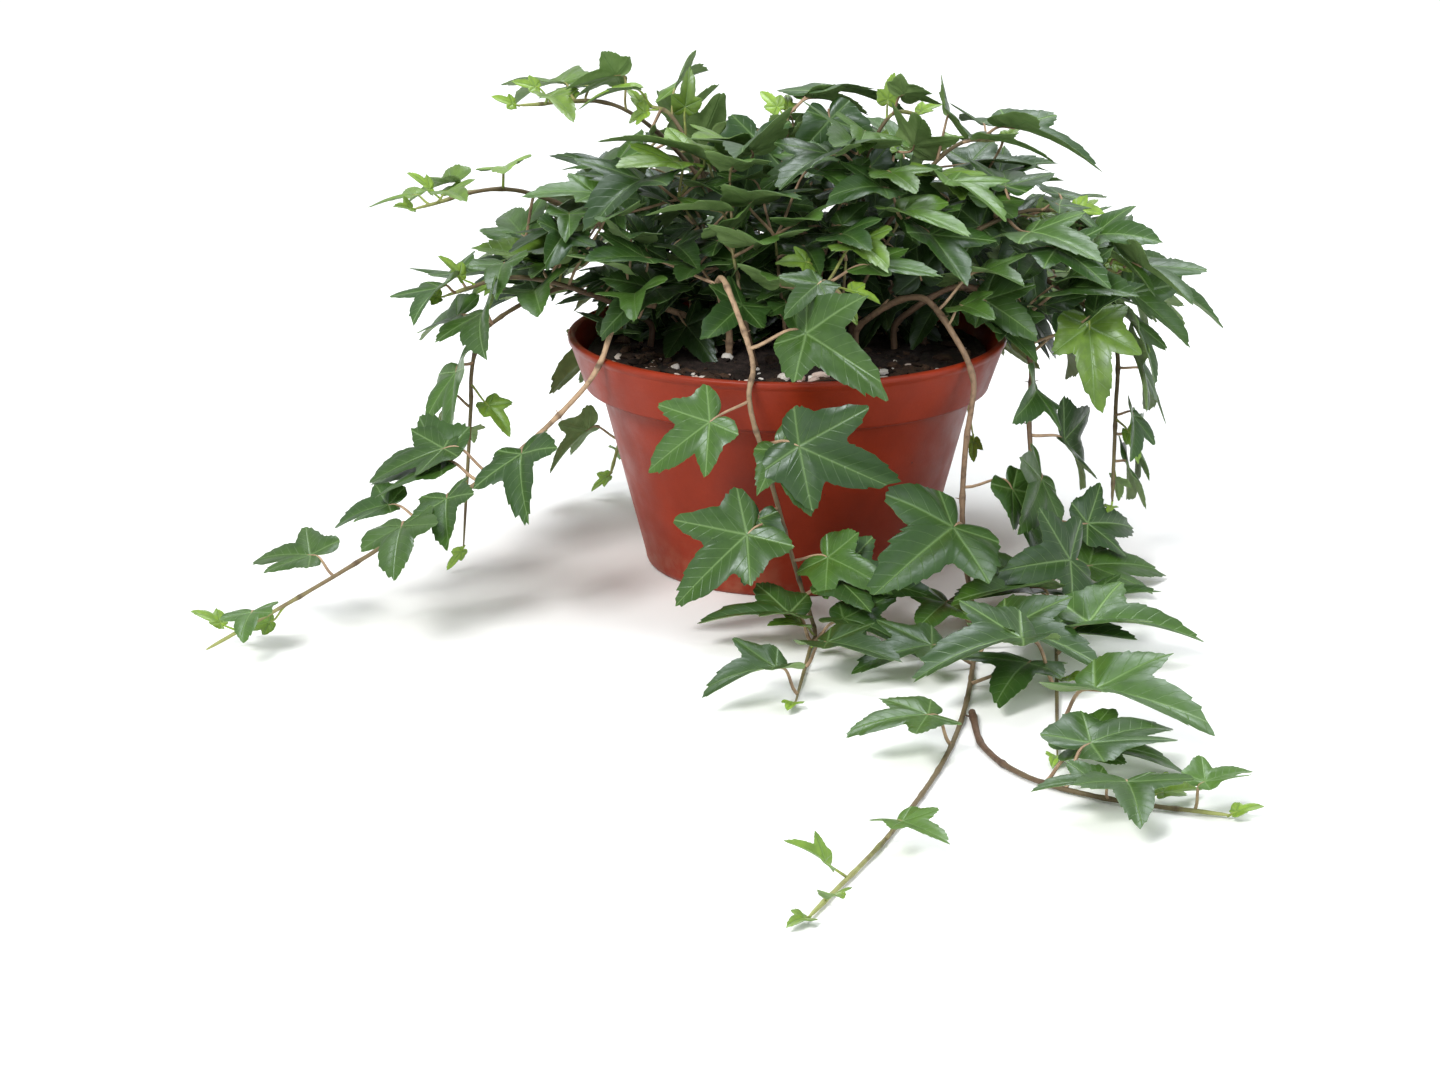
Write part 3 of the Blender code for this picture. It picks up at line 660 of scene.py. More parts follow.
def pot_profile(settings):
    """The pot's section of (radius, height), from the axis under the base round to the axis on the floor."""
    ledge = POT_HEIGHT - settings.collar_height
    base = settings.base_diameter / 2
    collar_low = LIP_RADIUS - COLLAR_TAPER
    body_top = collar_low - settings.collar_step
    wall, lip = settings.wall, settings.lip_thickness
    foot = [
        (base - FOOT_INSET * (1 - math.sin(a)), FOOT_ROUND * (1 - math.cos(a))) for a in quarter_turn(6)
    ]
    bead = [
        (LIP_RADIUS - lip / 2 + lip / 2 * math.cos(a), POT_HEIGHT - BEAD_HEIGHT * (1 - math.sin(a)))
        for a in (math.pi * step / 10 for step in range(11))
    ]
    outside = [
        (0, 0.0006), (base * 0.80, 0.0006), (base * 0.86, 0.0), *foot,
        (base + 0.2 * (body_top - base), FOOT_ROUND + 0.2 * (ledge - 0.005)),
        (body_top - 0.0004, ledge - 0.0030), (body_top, ledge - 0.0018), (body_top + 0.0007, ledge - 0.0012),
        (collar_low - 0.0009, ledge - 0.0002), (collar_low - 0.0002, ledge + 0.0002),
        (collar_low, ledge + 0.0010),
        (LIP_RADIUS - 0.0010, POT_HEIGHT - 0.0036), (LIP_RADIUS - 0.0008, POT_HEIGHT - 0.0028),
        (LIP_RADIUS - 0.0001, POT_HEIGHT - 0.0022),
    ]
    inside = [
        (LIP_RADIUS - lip - 0.0006, POT_HEIGHT - 0.0050), (collar_low - wall, ledge + wall + 0.0006),
        (collar_low - wall - 0.0012, ledge + wall - 0.0004), (body_top - wall, ledge + wall - 0.0020),
        (base - wall, FOOT_ROUND), (base - wall - FOOT_INSET, wall), (0, wall),
    ]
    return outside + bead + inside


def quarter_turn(steps):
    return [math.pi / 2 * step / steps for step in range(steps + 1)]


def turned(name, profile, segments):
    shape = bmesh.new()
    rings = []
    for radius, height in profile:
        count = segments if radius > 0 else 1
        angles = [2 * math.pi * step / count for step in range(count)]
        rings.append([shape.verts.new((radius * math.cos(a), radius * math.sin(a), height)) for a in angles])
    for inner, outer in zip(rings, rings[1:]):
        for step in range(segments):
            after = (step + 1) % segments
            corners = [inner[step % len(inner)], inner[after % len(inner)]]
            corners += [outer[after % len(outer)], outer[step % len(outer)]]
            shape.faces.new(list(dict.fromkeys(corners)))
    bmesh.ops.recalc_face_normals(shape, faces=shape.faces)
    mesh = bpy.data.meshes.new(name)
    shape.to_mesh(mesh)
    shape.free()
    mesh.shade_smooth()
    return mesh


def drain_cutter(settings):
    """Round plugs through the floor near its edge, evenly spread."""
    cutters = bmesh.new()
    radius = settings.drain_diameter / 2
    ring = settings.base_diameter / 2 - FOOT_INSET - DRAIN_INSET - radius
    for number in range(DRAIN_HOLES):
        turn = Matrix.Rotation(math.tau * (number + 0.5) / DRAIN_HOLES, 4, "Z")
        place = turn @ Matrix.Translation((ring, 0, 0.001))
        bmesh.ops.create_cone(
            cutters, cap_ends=True, segments=32, radius1=radius, radius2=radius, depth=0.006, matrix=place
        )
    mesh = bpy.data.meshes.new("drain_cutter")
    cutters.to_mesh(mesh)
    cutters.free()
    cutter = bpy.data.objects.new("drain_cutter", mesh)
    bpy.context.scene.collection.objects.link(cutter)
    return cutter


def make_pot(settings):
    mesh = turned("finished_pot", pot_profile(settings), 128)
    pot = placed("finished_pot", mesh, terracotta_plastic(settings))
    cutter = drain_cutter(settings)
    cut = pot.modifiers.new("drain_holes", "BOOLEAN")
    cut.operation = "DIFFERENCE"
    cut.object = cutter
    graph = bpy.context.evaluated_depsgraph_get()
    pot.data = bpy.data.meshes.new_from_object(pot.evaluated_get(graph))
    pot.modifiers.clear()
    bpy.data.objects.remove(cutter)
    pot.data.set_sharp_from_angle(angle=math.radians(48))
    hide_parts("pot")


# --- The soil ---


def packed_tree(node):
    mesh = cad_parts[node].data
    corners = [corner.co.copy() for corner in mesh.vertices]
    return BVHTree.FromPolygons(corners, [tuple(face.vertices) for face in mesh.polygons])


def soil_height(tree, x, y, lump):
    """The soil's finished height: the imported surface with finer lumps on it."""
    hit = tree.ray_cast(Vector((x, y, 1)), Vector((0, 0, -1)))[0]
    base = hit.z if hit else SOIL_BOX[1].z - 0.003
    spot = Vector((x, y, 0))
    return base + lump * (noise.noise(spot * 190) * 0.7 + noise.noise(spot * 520) * 0.5 - 0.1)


def make_soil(settings):
    """The soil's lumpy top with a skirt down inside the pot."""
    tree = packed_tree("potting_soil")
    form = Form()
    rings, sides = 56, 150
    corners = [(0, 0, soil_height(tree, 0, 0, settings.lump_height))]
    for ring in range(1, rings + 1):
        radius = (SOIL_RADIUS - SOIL_RIM) * ring / rings
        for side in range(sides):
            angle = math.tau * side / sides
            x, y = radius * math.cos(angle), radius * math.sin(angle)
            corners.append((x, y, soil_height(tree, x, y, settings.lump_height)))
    top = len(corners)
    floor = SOIL_BOX[0].z
    heights = (SOIL_BOX[1].z - SKIRT_DROPS[0], POT_HEIGHT - SKIRT_DROPS[1], floor)
    for radius, height in zip(SKIRT_RADII, heights):
        for side in range(sides):
            angle = math.tau * side / sides
            corners.append((radius * math.cos(angle), radius * math.sin(angle), height))
    corners.append((0, 0, floor))
    faces = [(0, 1 + side, 1 + (side + 1) % sides) for side in range(sides)]
    for ring in range(rings + 2):
        start = 1 + ring * sides
        for side in range(sides):
            after = (side + 1) % sides
            faces.append((start + side, start + sides + side, start + sides + after, start + after))
    last = top + 2 * sides
    faces += [(last + side, len(corners) - 1, last + (side + 1) % sides) for side in range(sides)]
    form.add(corners, faces, [(0, 0, 0)] * len(corners), (0, 0, 0))
    soil = form.made("finished_soil", potting_soil(settings), 180)
    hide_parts("potting_soil")


def crumb_shape(subdivisions):
    shape = bmesh.new()
    bmesh.ops.create_icosphere(shape, subdivisions=subdivisions, radius=1)
    corners = [corner.co.copy() for corner in shape.verts]
    faces = [tuple(corner.index for corner in face.verts) for face in shape.faces]
    shape.free()
    return corners, faces


def scattered(name, count, sizes, flat, material, front_share, lump, dice):
    """Small irregular crumbs lying on the soil. Some of them are kept to the front, where they show."""
    tree = packed_tree("potting_soil")
    corners, faces = crumb_shape(2)
    form = Form()
    for _ in range(count):
        radius = (SOIL_RADIUS - 0.005) * math.sqrt(dice.random())
        azimuth = dice.uniform(-180, 180)
        if dice.random() < front_share:
            radius = dice.uniform(0.050, SOIL_RADIUS - 0.005)
            azimuth = dice.uniform(-75, 60)
        spot = round_the_pot(azimuth, radius, 0)
        size = sizes[0] + (sizes[1] - sizes[0]) * dice.random() ** 2.5
        scale = Vector((dice.uniform(0.8, 1.4), dice.uniform(0.6, 1.0), flat * dice.uniform(0.7, 1.2))) * size
        turn = Matrix.Rotation(dice.uniform(0, math.tau), 3, "Z")
        turn = turn @ Matrix.Rotation(dice.uniform(-0.5, 0.5), 3, "X")
        spot.z = soil_height(tree, spot.x, spot.y, lump) + scale.z * 0.25
        shift = Vector((dice.uniform(-9, 9), dice.uniform(-9, 9), dice.uniform(-9, 9)))
        made = []
        for corner in corners:
            bulge = 1 + 0.45 * noise.noise(corner * 1.3 + shift) + 0.18 * noise.noise(corner * 3.7 + shift)
            made.append(spot + turn @ Vector(c * s * bulge for c, s in zip(corner, scale)))
        form.add(made, faces, [(0, 0, 0)] * len(made), (dice.random(), 0, 0))
    piece = form.made(name, material, 40)


def make_grains(settings):
    dice = random.Random(SEED)
    lump = settings.lump_height
    scattered("bark_crumbs", settings.crumbs, (0.0007, 0.0034), 0.5, bark_crumb(), 0.45, lump, dice)
    scattered("pale_grains", settings.grains, (0.0005, 0.0024), 0.8, pale_grain(), 0.7, lump, dice)


# --- The stems ---


def tube(form, path, radii, sides, growth, tone, bark=0.0):
    """A closed round tube along the path, rough by the bark's share of its radius."""
    across = (path[1] - path[0]).orthogonal().normalized()
    corners, places = [], []
    for number, (centre, radius) in enumerate(zip(path, radii)):
        ahead = (path[min(number + 1, len(path) - 1)] - path[max(number - 1, 0)]).normalized()
        across = (across - ahead * across.dot(ahead)).normalized()
        up = ahead.cross(across)
        for side in range(sides):
            angle = math.tau * side / sides
            out = across * math.cos(angle) + up * math.sin(angle)
            rough = 1 + bark * noise.noise((centre + out * radius) * 700)
            corner = centre + out * radius * rough
            corner.z = max(corner.z, FLOOR_GAP)
            corners.append(corner)
            places.append(growth(number / (len(path) - 1), number))
    faces = []
    for number in range(len(path) - 1):
        start = number * sides
        for side in range(sides):
            after = (side + 1) % sides
            faces.append((start + side, start + after, start + sides + after, start + sides + side))
    faces += [tuple(reversed(range(sides))), tuple(range(len(corners) - sides, len(corners)))]
    form.add(corners, faces, places, tone)


def stem_form(form, stem, settings, tone, dice):
    """A tapered stem with a swelling at each knot, and short rootlets on its older half."""
    count = len(stem.path) - 1
    knots = max(2, round(stem.length / settings.knot_spacing))
    drift = dice.random()
    radii = []
    for number, radius in enumerate(stem.radii):
        phase = (number / count * knots + drift) % 1
        swelling = math.exp(-((min(phase, 1 - phase) / 0.07) ** 2))
        radii.append(radius * (0.88 + settings.knot_swelling * swelling))
    last = radii[-1]
    radii[-3:] = [last * 0.95, last * 0.8, last * 0.45]

    def growth(share, number):
        phase = (share * knots + drift) % 1
        return share, 0, math.exp(-((min(phase, 1 - phase) / 0.05) ** 2))

    tube(form, stem.path, radii, STEM_SIDES, growth, tone, 0.10)
    for knot in range(knots):
        share = (knot + 1 - drift) / knots
        if share > 0.7 or dice.random() < 0.35:
            continue
        place, direction, radius = stem.at(share)
        for _ in range(dice.randint(1, 3)):
            out = direction.orthogonal().normalized()
            out.rotate(Matrix.Rotation(dice.uniform(0, math.tau), 3, direction))
            end = place + out * (radius + dice.uniform(0.0008, 0.0020))
            end += direction * dice.uniform(-0.001, 0.001)
            if end.z < 0.0004:
                continue
            rootlet = [place + out * radius * 0.8, place.lerp(end, 0.7), end]
            tube(form, rootlet, ROOTLET_RADII, 5, lambda s, n: (0.1, 0, 0.6), tone)


def sprig_stem(points, soil):
    """A thin stem that rises from the soil and bends to its end under the crown."""
    (azimuth, radius), *rest = points
    foot = round_the_pot(azimuth, radius, 0)
    foot.z = soil_height(soil, foot.x, foot.y, 0) - 0.002
    route = [foot, *(round_the_pot(a, r, POT_HEIGHT + above) for a, r, above in rest)]
    thick, thin = SPRIG_RADII
    line = [(place, thick + (thin - thick) * n / (len(route) - 1)) for n, place in enumerate(route)]
    return Stem(line, 10)


def all_stems():
    """Every stem by name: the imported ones, then the sprigs."""
    stems = {name: Stem(centreline(name)) for name in STEMS}
    soil = packed_tree("potting_soil")
    for number, points in enumerate(SPRIGS, 1):
        stems[f"sprig_{number}"] = sprig_stem(points, soil)
    return stems


def make_stems(settings):
    dice = random.Random(SEED + 1)
    material = ivy_stem(settings)
    sprigs = Form()
    for name, stem in all_stems().items():
        tone = (PALE_STEMS.get(name, dice.uniform(0.0, 0.3)), 0.15 if name in BROWN_TIPS else 1, 0)
        if name not in STEMS:
            stem_form(sprigs, stem, settings, tone, dice)
            continue
        form = Form()
        stem_form(form, stem, settings, tone, dice)
        piece = form.made(f"bark_{name}", material)
        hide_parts(name)
    piece = sprigs.made("bark_sprigs", material)


# --- The leaves ---


def outline_points():
    """The whole outline of a blade of length 1, from the tip round to the right, as (angle, distance)."""
    right = []
    for arc in HALF_OUTLINE:
        flat = [Vector((d * math.sin(math.radians(a)), d * math.cos(math.radians(a)))) for a, d in arc]
        right += smoothed(flat, OUTLINE_STEPS)[:-1]
    angle, distance = HALF_OUTLINE[-1][-1]
    behind = Vector((0, -distance))
    left = [Vector((-point.x, point.y)) for point in right[:0:-1]]
    whole = [*right, behind, *left]
    return np.array([(math.atan2(p.x, p.y), p.length) for p in whole])


OUTLINE = outline_points()


def blade_faces():
    """The faces of a blade: its upper face, its lower face and the rim between them."""
    count, rings = len(OUTLINE), len(RING_SHARES)
    faces = [(0, 1 + (n + 1) % count, 1 + n) for n in range(count)]
    for ring in range(rings - 1):
        start = 1 + ring * count
        for n in range(count):
            after = (n + 1) % count
            faces.append((start + n, start + after, start + count + after, start + count + n))
    size = 1 + rings * count
    faces += [tuple(corner + size for corner in reversed(face)) for face in faces]
    edge = 1 + (rings - 1) * count
    for n in range(count):
        after = (n + 1) % count
        faces.append((edge + after, edge + n, edge + n + size, edge + after + size))
    return faces


BLADE_FACES = blade_faces()


def main_vein_distance(across, ahead):
    """How far each point lies from the nearest main vein."""
    nearest = np.full(across.shape, 9.0)
    for angle in VEIN_ANGLES:
        sine, cosine = math.sin(math.radians(angle)), math.cos(math.radians(angle))
        along = np.abs(across) * sine + ahead * cosine
        off = np.abs(np.abs(across) * cosine - ahead * sine)
        nearest = np.minimum(nearest, np.where(along > 0, off, np.hypot(across, ahead)))
    return nearest


class Leaf:
    """Where a leaf sits: its seat on the stem, its hub, its three directions, its length and its age."""

    def __init__(self, seat, outward, hub, ahead, facing, length, age):
        self.seat, self.outward, self.hub, self.length, self.age = seat, outward, hub, length, age
        self.ahead = ahead.normalized()
        side = self.ahead.cross(facing)
        if side.length < 0.05:
            side = self.ahead.cross(facing + Vector((0.3, 0.2, 0.5)))
        self.side = side.normalized()
        self.up = self.side.cross(self.ahead)
        # Painted shade: 1 for a leaf in full light, lower for leaves painted darker as if shaded.
        self.shade = 1.0

    def point(self, across, ahead, lift):
        return self.hub + (self.side * across + self.ahead * ahead + self.up * lift) * self.length

    def rough_tree(self):
        """The blade as a fan of a few triangles, for tests of what it crosses."""
        corners = [self.hub]
        for angle, distance in OUTLINE[::ROUGH_STEP]:
            across, ahead = distance * math.sin(angle), distance * math.cos(angle)
            rise = ROUGH_FOLD * abs(across) - CAD_DROOP * max(0, ahead) ** 2
            corners.append(self.point(across, ahead, rise))
        count = len(corners) - 1
        lowest = min(corner.z for corner in corners)
        return BVHTree.FromPolygons(corners, [(0, 1 + n, 1 + (n + 1) % count) for n in range(count)]), lowest

    def stalk_path(self):
        behind = self.point(0, -CAD_NOTCH, 0)
        reach = STALK_BEND * (behind - self.seat).length
        curve = interpolate_bezier(
            behind, behind - self.ahead * reach, self.seat + self.outward * reach, self.seat, STALK_STEPS
        )
        start = self.point(0, 0.05, -0.004)
        return [start, *curve, self.seat - self.outward * 0.0009]


def grow_leaf(form, leaf, settings, dice):
    """Adds a leaf's blade and stalk. Each differs a little from the next in lobes, fold, droop and waves."""
    angles, distances = OUTLINE[:, 0], OUTLINE[:, 1].copy()
    young = leaf.age > 0.7
    for sign in (-1, 1):
        for middle, spread, low, high in LOBE_GROWTH:
            growth = dice.uniform(low, high) * (0.8 if young else 1)
            distances *= 1 + (growth - 1) * np.exp(-(((np.degrees(angles) * sign - middle) / spread) ** 2))
    shift = dice.uniform(0, 50)
    rough = [noise.noise(Vector((n * 0.9, shift, 0))) for n in range(len(angles))]
    distances *= 1 + 0.085 * np.array(rough) * np.clip(distances * 2, 0, 1)
    shares = np.array(RING_SHARES)[:, None]
    across = np.concatenate(([0], (shares * distances * np.sin(angles)).ravel()))
    ahead = np.concatenate(([0], (shares * distances * np.cos(angles)).ravel()))
    from_hub = np.concatenate(([0], (shares * np.ones(len(angles))).ravel()))
    turn = np.concatenate(([0], (np.ones((len(RING_SHARES), 1)) * angles).ravel()))

    fold, droop = dice.uniform(0.14, 0.50), dice.uniform(0.12, 0.36)
    wave, phase = dice.uniform(0.010, 0.030), dice.uniform(0, math.tau)
    twist, curl = dice.uniform(-0.16, 0.16), dice.uniform(-0.30, 0.10)
    bend = dice.uniform(-0.10, 0.10)
    off_vein = main_vein_distance(across, ahead)
    lift = fold * np.sqrt(across ** 2 + 0.0008) - droop * np.clip(ahead, 0, 2) ** 2
    lift += curl * np.clip(np.abs(across) - 0.22, 0, 1) ** 2 + twist * across * ahead
    lift += 0.020 * (1 - np.exp(-((off_vein / 0.06) ** 2))) * (1 - from_hub ** 6)
    lift += wave * from_hub ** 3 * np.sin(5 * turn + phase)
    lift -= 0.12 * np.clip(-ahead, 0, 1)
    across = across + bend * np.clip(ahead, 0, 2) ** 2

    axes = np.array((leaf.side, leaf.ahead, leaf.up))
    local = np.stack((across, ahead, lift), axis=1) * leaf.length
    top = np.array(leaf.hub) + local @ axes
    edge = np.where(from_hub > 0.97, 0.35, 1.0)[:, None]
    bottom = top - np.array(leaf.up) * settings.thickness * edge
    lowest = min(top[:, 2].min(), bottom[:, 2].min())
    if lowest < FLOOR_GAP:
        top[:, 2] += FLOOR_GAP - lowest
        bottom[:, 2] += FLOOR_GAP - lowest
    flat = np.stack((across, ahead), axis=1)
    places = [(a, b, 0.0) for a, b in flat] + [(a, b, 1.0) for a, b in flat]
    # The second value is the painted shade of the leaf's place, times a random brightness of its own.
    tone = (leaf.age, leaf.shade * dice.uniform(0.78, 1.25), dice.uniform(0.35, 1.0))
    form.add([*top, *bottom], BLADE_FACES, places, tone)

    path = leaf.stalk_path()
    thick = 0.00034 + 0.0085 * leaf.length
    radii = [thick * (0.75 + 0.35 * number / len(path)) for number in range(len(path))]
    radii[0] = thick * 0.4
    tube(form, path, radii, STALK_SIDES, lambda share, number: (0, 0, 2.0), tone)


def seat_on_stem(place, direction, radius, outward):
    """Where a stalk leaves the stem's bark in a direction."""
    square = outward - direction * outward.dot(direction)
    if square.length < 0.05:
        square = direction.orthogonal()
    return place + square.normalized() * radius


def packed_leaf(node, stem):
    """A leaf with the pose of a packed one, read from its mesh: hub, blade, and stalk down to its stem."""
    places, linked = merged_mesh(node)
    ranked = sorted(range(len(places)), key=lambda corner: -len(linked[corner]))
    top, bottom = (places[corner] for corner in ranked[:2])
    hub = (top + bottom) / 2
    others = sorted((places[corner] for corner in ranked[2:]), key=lambda place: (place - hub).length)
    behind = sum(others[:4], Vector()) / 4
    ahead = hub - behind
    length = ahead.length / CAD_NOTCH
    ahead.normalize()
    up = (top - bottom).normalized()
    tips = [hub + (ahead - up * sign * CAD_DROOP) * length for sign in (1, -1)]
    misses = [min((place - tip).length for place in places) for tip in tips]
    facing = up if misses[0] < misses[1] else -up

    def off_stem(place):
        return min((place - spot).length for spot in stem.path)

    foot = sum(sorted(places, key=off_stem)[:4], Vector()) / 4
    return Leaf(foot, (hub - foot).normalized(), hub, ahead, facing, length, 0)


def leaf_age(name, share, dice):
    """How young a leaf is: pale on the young shoots, and towards the tips of the stems that end green."""
    if name in YOUNG_SHOOTS:
        return dice.uniform(0.5, 0.85)
    age = dice.uniform(0.03, 0.3)
    if name.startswith("stem_") and name not in BROWN_TIPS:
        age += 0.55 * share ** 5
    return age


def turned_leaf(leaf, turn, dip, longer, smaller):
    """The leaf with its blade turned and dipped, and its stalk and blade longer or shorter."""
    ahead, facing = leaf.ahead.copy(), leaf.up.copy()
    ahead.rotate(Matrix.Rotation(turn, 3, leaf.up))
    side = ahead.cross(leaf.up)
    ahead.rotate(Matrix.Rotation(dip, 3, side))
    facing.rotate(Matrix.Rotation(dip, 3, side))
    hub = leaf.seat + leaf.outward * (leaf.hub - leaf.seat).length * longer
    turned = Leaf(leaf.seat, leaf.outward, hub, ahead, facing, leaf.length * smaller, leaf.age)
    turned.shade = leaf.shade
    return turned


class Foliage:
    """The leaves placed so far, gathered by stem, and what a new one must stay clear of."""

    def __init__(self, stems):
        self.stems = stems
        self.solids = [packed_tree(name) for name in ("pot", "potting_soil", *STEMS)]
        self.blades, self.by_stem = [], {}

    def keep(self, name, leaf):
        self.blades.append((leaf.hub, leaf.length, leaf.rough_tree()[0]))
        self.by_stem.setdefault(name, []).append(leaf)

    def crossings(self, leaf):
        tree, lowest = leaf.rough_tree()
        found = TOO_FAR if lowest < FLOOR_ROOM else 0
        tip = leaf.hub + leaf.ahead * leaf.length
        found += TOO_FAR if max(leaf.hub.z, tip.z) > LEAF_CEILING else 0
        found += sum(len(tree.overlap(solid)) for solid in self.solids)
        for hub, length, blade in self.blades:
            if (hub - leaf.hub).length < length + leaf.length:
                found += len(tree.overlap(blade))
        return found

    def fit(self, name, leaf, allowed):
        """Keeps the leaf, turned as little as it needs, or leaves it out when there is no room."""
        best = None
        for trial in LEAF_TRIES:
            attempt = turned_leaf(leaf, *trial)
            found = self.crossings(attempt)
            if best is None or found < best[0]:
                best = (found, attempt)
            if not found:
                break
        if best[0] <= allowed:
            self.keep(name, best[1])


def crown_spots(share, count, dice):
    """Places and surface directions spread evenly over the crown's mound."""
    for number in range(count):
        height = (number + 0.5) / count * 1.12 - 0.12
        turn = number * math.pi * (3 - math.sqrt(5)) + dice.uniform(-0.25, 0.25)
        level = math.sqrt(max(0, 1 - height * height))
        way = Vector((level * math.sin(turn), -level * math.cos(turn), height))
        wide = CROWN_REACH["right"] if way.x > 0 else CROWN_REACH["left"]
        deep = CROWN_REACH["front"] if way.y < 0 else CROWN_REACH["back"]
        reach = Vector((wide, deep, CROWN_REACH["up"]))
        swell = share * (1 + 0.16 * noise.noise(way * 3.1))
        place = CROWN_MIDDLE + Vector(w * r for w, r in zip(way, reach)) * swell
        if place.x > SLOPE_START and way.z > 0:
            place.z -= (place.x - SLOPE_START) * CROWN_SLOPE * way.z * reach.z * 1.6
        normal = Vector(w / r for w, r in zip(way, reach)).normalized()
        clear = all(any(not low[i] < place[i] < high[i] for i in range(3)) for low, high in CROWN_GAPS)
        if clear and place.z > POT_HEIGHT + CROWN_FLOOR:
            yield place, normal


def nearest_seat(stems, hub):
    """The nearest stem with room for a stalk: its name, the seat on its bark, and the way out to the hub."""
    best = None
    for name, stem in stems.items():
        for number, spot in enumerate(stem.path[2:], 2):
            away = (spot - hub).length
            if NEAREST_STEM < away < FARTHEST_STEM and (best is None or away < best[0]):
                best = (away, name, number / (len(stem.path) - 1))
    if best is None:
        return None
    _, name, share = best
    spot, direction, radius = stems[name].at(share)
    outward = (hub - spot).normalized()
    return name, seat_on_stem(spot, direction, radius, outward), outward


def grow_crown(foliage, dice):
    for share, count in CROWN_LAYERS:
        for place, normal in crown_spots(share, count, dice):
            found = nearest_seat(foliage.stems, place)
            if not found:
                continue
            name, seat, outward = found
            loose = Vector((dice.uniform(-1, 1), dice.uniform(-1, 1), dice.uniform(-0.7, 0.5)))
            level = Vector((normal.x, normal.y, 0))
            ahead = level + outward * 0.4 + loose * CROWN_TWIST - UP * 0.25
            tilt = Vector((dice.uniform(-1, 1), dice.uniform(-1, 1), 0))
            facing = normal * 0.5 + UP * 0.85 + Vector((0, -0.15, 0)) + tilt * 0.45
            length = dice.uniform(0.019, 0.037) * (1 if share > 0.9 else 0.9)
            age = dice.choice((0.0, 0.05, 0.15, 0.25, 0.35, 0.5)) if share > 0.9 else dice.uniform(0, 0.2)
            if dice.random() < 0.05 and share > 0.9:
                age = 0.66
            leaf = Leaf(seat, outward, place, ahead, facing, length, age)
            # Painted shade: the inner layers are painted darker, as if shaded by the outer leaves.
            leaf.shade = 0.22 + 0.78 * share ** 1.5
            foliage.fit(name, leaf, 1)


def grow_undergrowth(foliage, dice):
    """Old leaves low down among the stems, painted darker as shade under the crown."""
    for _ in range(UNDERGROWTH):
        azimuth, radius = dice.uniform(-180, 180), 0.066 * math.sqrt(dice.random())
        place = round_the_pot(azimuth, radius, POT_HEIGHT + dice.uniform(-0.001, 0.026))
        found = nearest_seat(foliage.stems, place)
        if place.y < UNDERGROWTH_FRONT or not found:
            continue
        name, seat, outward = found
        ahead = Vector((dice.uniform(-1, 1), dice.uniform(-1, 0.4), dice.uniform(-0.5, 0.2)))
        facing = UP * 0.8 + Vector((dice.uniform(-0.6, 0.6), -0.7, 0))
        leaf = Leaf(seat, outward, place, ahead, facing, dice.uniform(0.016, 0.027), dice.uniform(0, 0.15))
        # Painted shade: these low leaves are darkened as if in the crown's shadow.
        leaf.shade = 0.45
        foliage.fit(name, leaf, 3)


def grow_by_rule(foliage, name, rule, dice):
    """Leaves on alternate sides of a stem, which look up where it lies and outwards where it hangs."""
    first, last, spacing, first_length, last_length = rule
    stem = foliage.stems[name]
    count = max(1, round(stem.length * (last - first) / spacing))
    for number in range(count):
        done = (number + 0.5) / count
        share = first + (last - first) * done
        place, direction, radius = stem.at(share)
        away = Vector((place.x, place.y, 0)).normalized()
        steep = abs(direction.z)
        face = UP * (1.2 - steep) + away * (0.2 + steep)
        side = direction.cross(face).normalized() * (1 if number % 2 else -1)
        outward = side + direction * dice.uniform(-0.2, 0.5) + face.normalized() * dice.uniform(0.3, 1.0)
        outward = outward.normalized()
        length = (first_length + (last_length - first_length) * done) * dice.uniform(0.85, 1.15)
        seat = seat_on_stem(place, direction, radius, outward)
        hub = seat + outward * length * dice.uniform(0.3, 0.6)
        ahead = side + direction * dice.uniform(0, 0.7) + away * 0.2 - UP * (0.6 * steep * dice.random())
        facing = face + UP * dice.uniform(0.1, 0.6)
        age = leaf_age(name, share, dice)
        foliage.fit(name, Leaf(seat, outward, hub, ahead, facing, length, age), 3)


def grow_tips(foliage, dice):
    """Up to three small leaves, barely unfolded, at each stem's end."""
    for name in STEMS:
        stem = foliage.stems[name]
        for number, (back, size, age) in enumerate(TIP_LEAVES):
            share = 1 - back / stem.length
            place, direction, radius = stem.at(share)
            out = direction.orthogonal().normalized()
            out.rotate(Matrix.Rotation(2.4 * number + dice.uniform(-0.5, 0.5), 3, direction))
            outward = (out * (0.25 + 0.5 * (number > 0)) + direction + UP * 0.45).normalized()
            seat = place if number == 0 else seat_on_stem(place, direction, radius, outward)
            hub = seat + outward * (0.002 + 0.004 * number)
            ahead = outward + out * 0.3
            facing = UP * 0.8 + Vector((0, -0.5, 0)) + out * 0.4
            foliage.fit(name, Leaf(seat, outward, hub, ahead, facing, size, age), 6)


def make_leaves(settings, bark):
    dice = random.Random(SEED + 2)
    foliage = Foliage(all_stems())
    for node in CAD_LEAVES:
        name = stem_of(node)
        leaf = packed_leaf(node, foliage.stems[name])
        leaf.age = leaf_age(name, foliage.stems[name].nearest_share(leaf.seat), dice)
        foliage.keep(name, leaf)
    for name in STEMS:
        grow_by_rule(foliage, name, RULED_STEMS.get(name, SHOOT_RULE), dice)
    grow_crown(foliage, dice)
    grow_undergrowth(foliage, dice)
    grow_tips(foliage, dice)
    material = ivy_leaf(settings, bark)
    for name, leaves in foliage.by_stem.items():
        form = Form()
        for leaf in leaves:
            grow_leaf(form, leaf, settings, dice)
        piece = form.made(f"leaves_{name}", material)
        nodes = [node for node in CAD_LEAVES if stem_of(node) == name]
        if nodes:
            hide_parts(*nodes)


# --- The stage ---


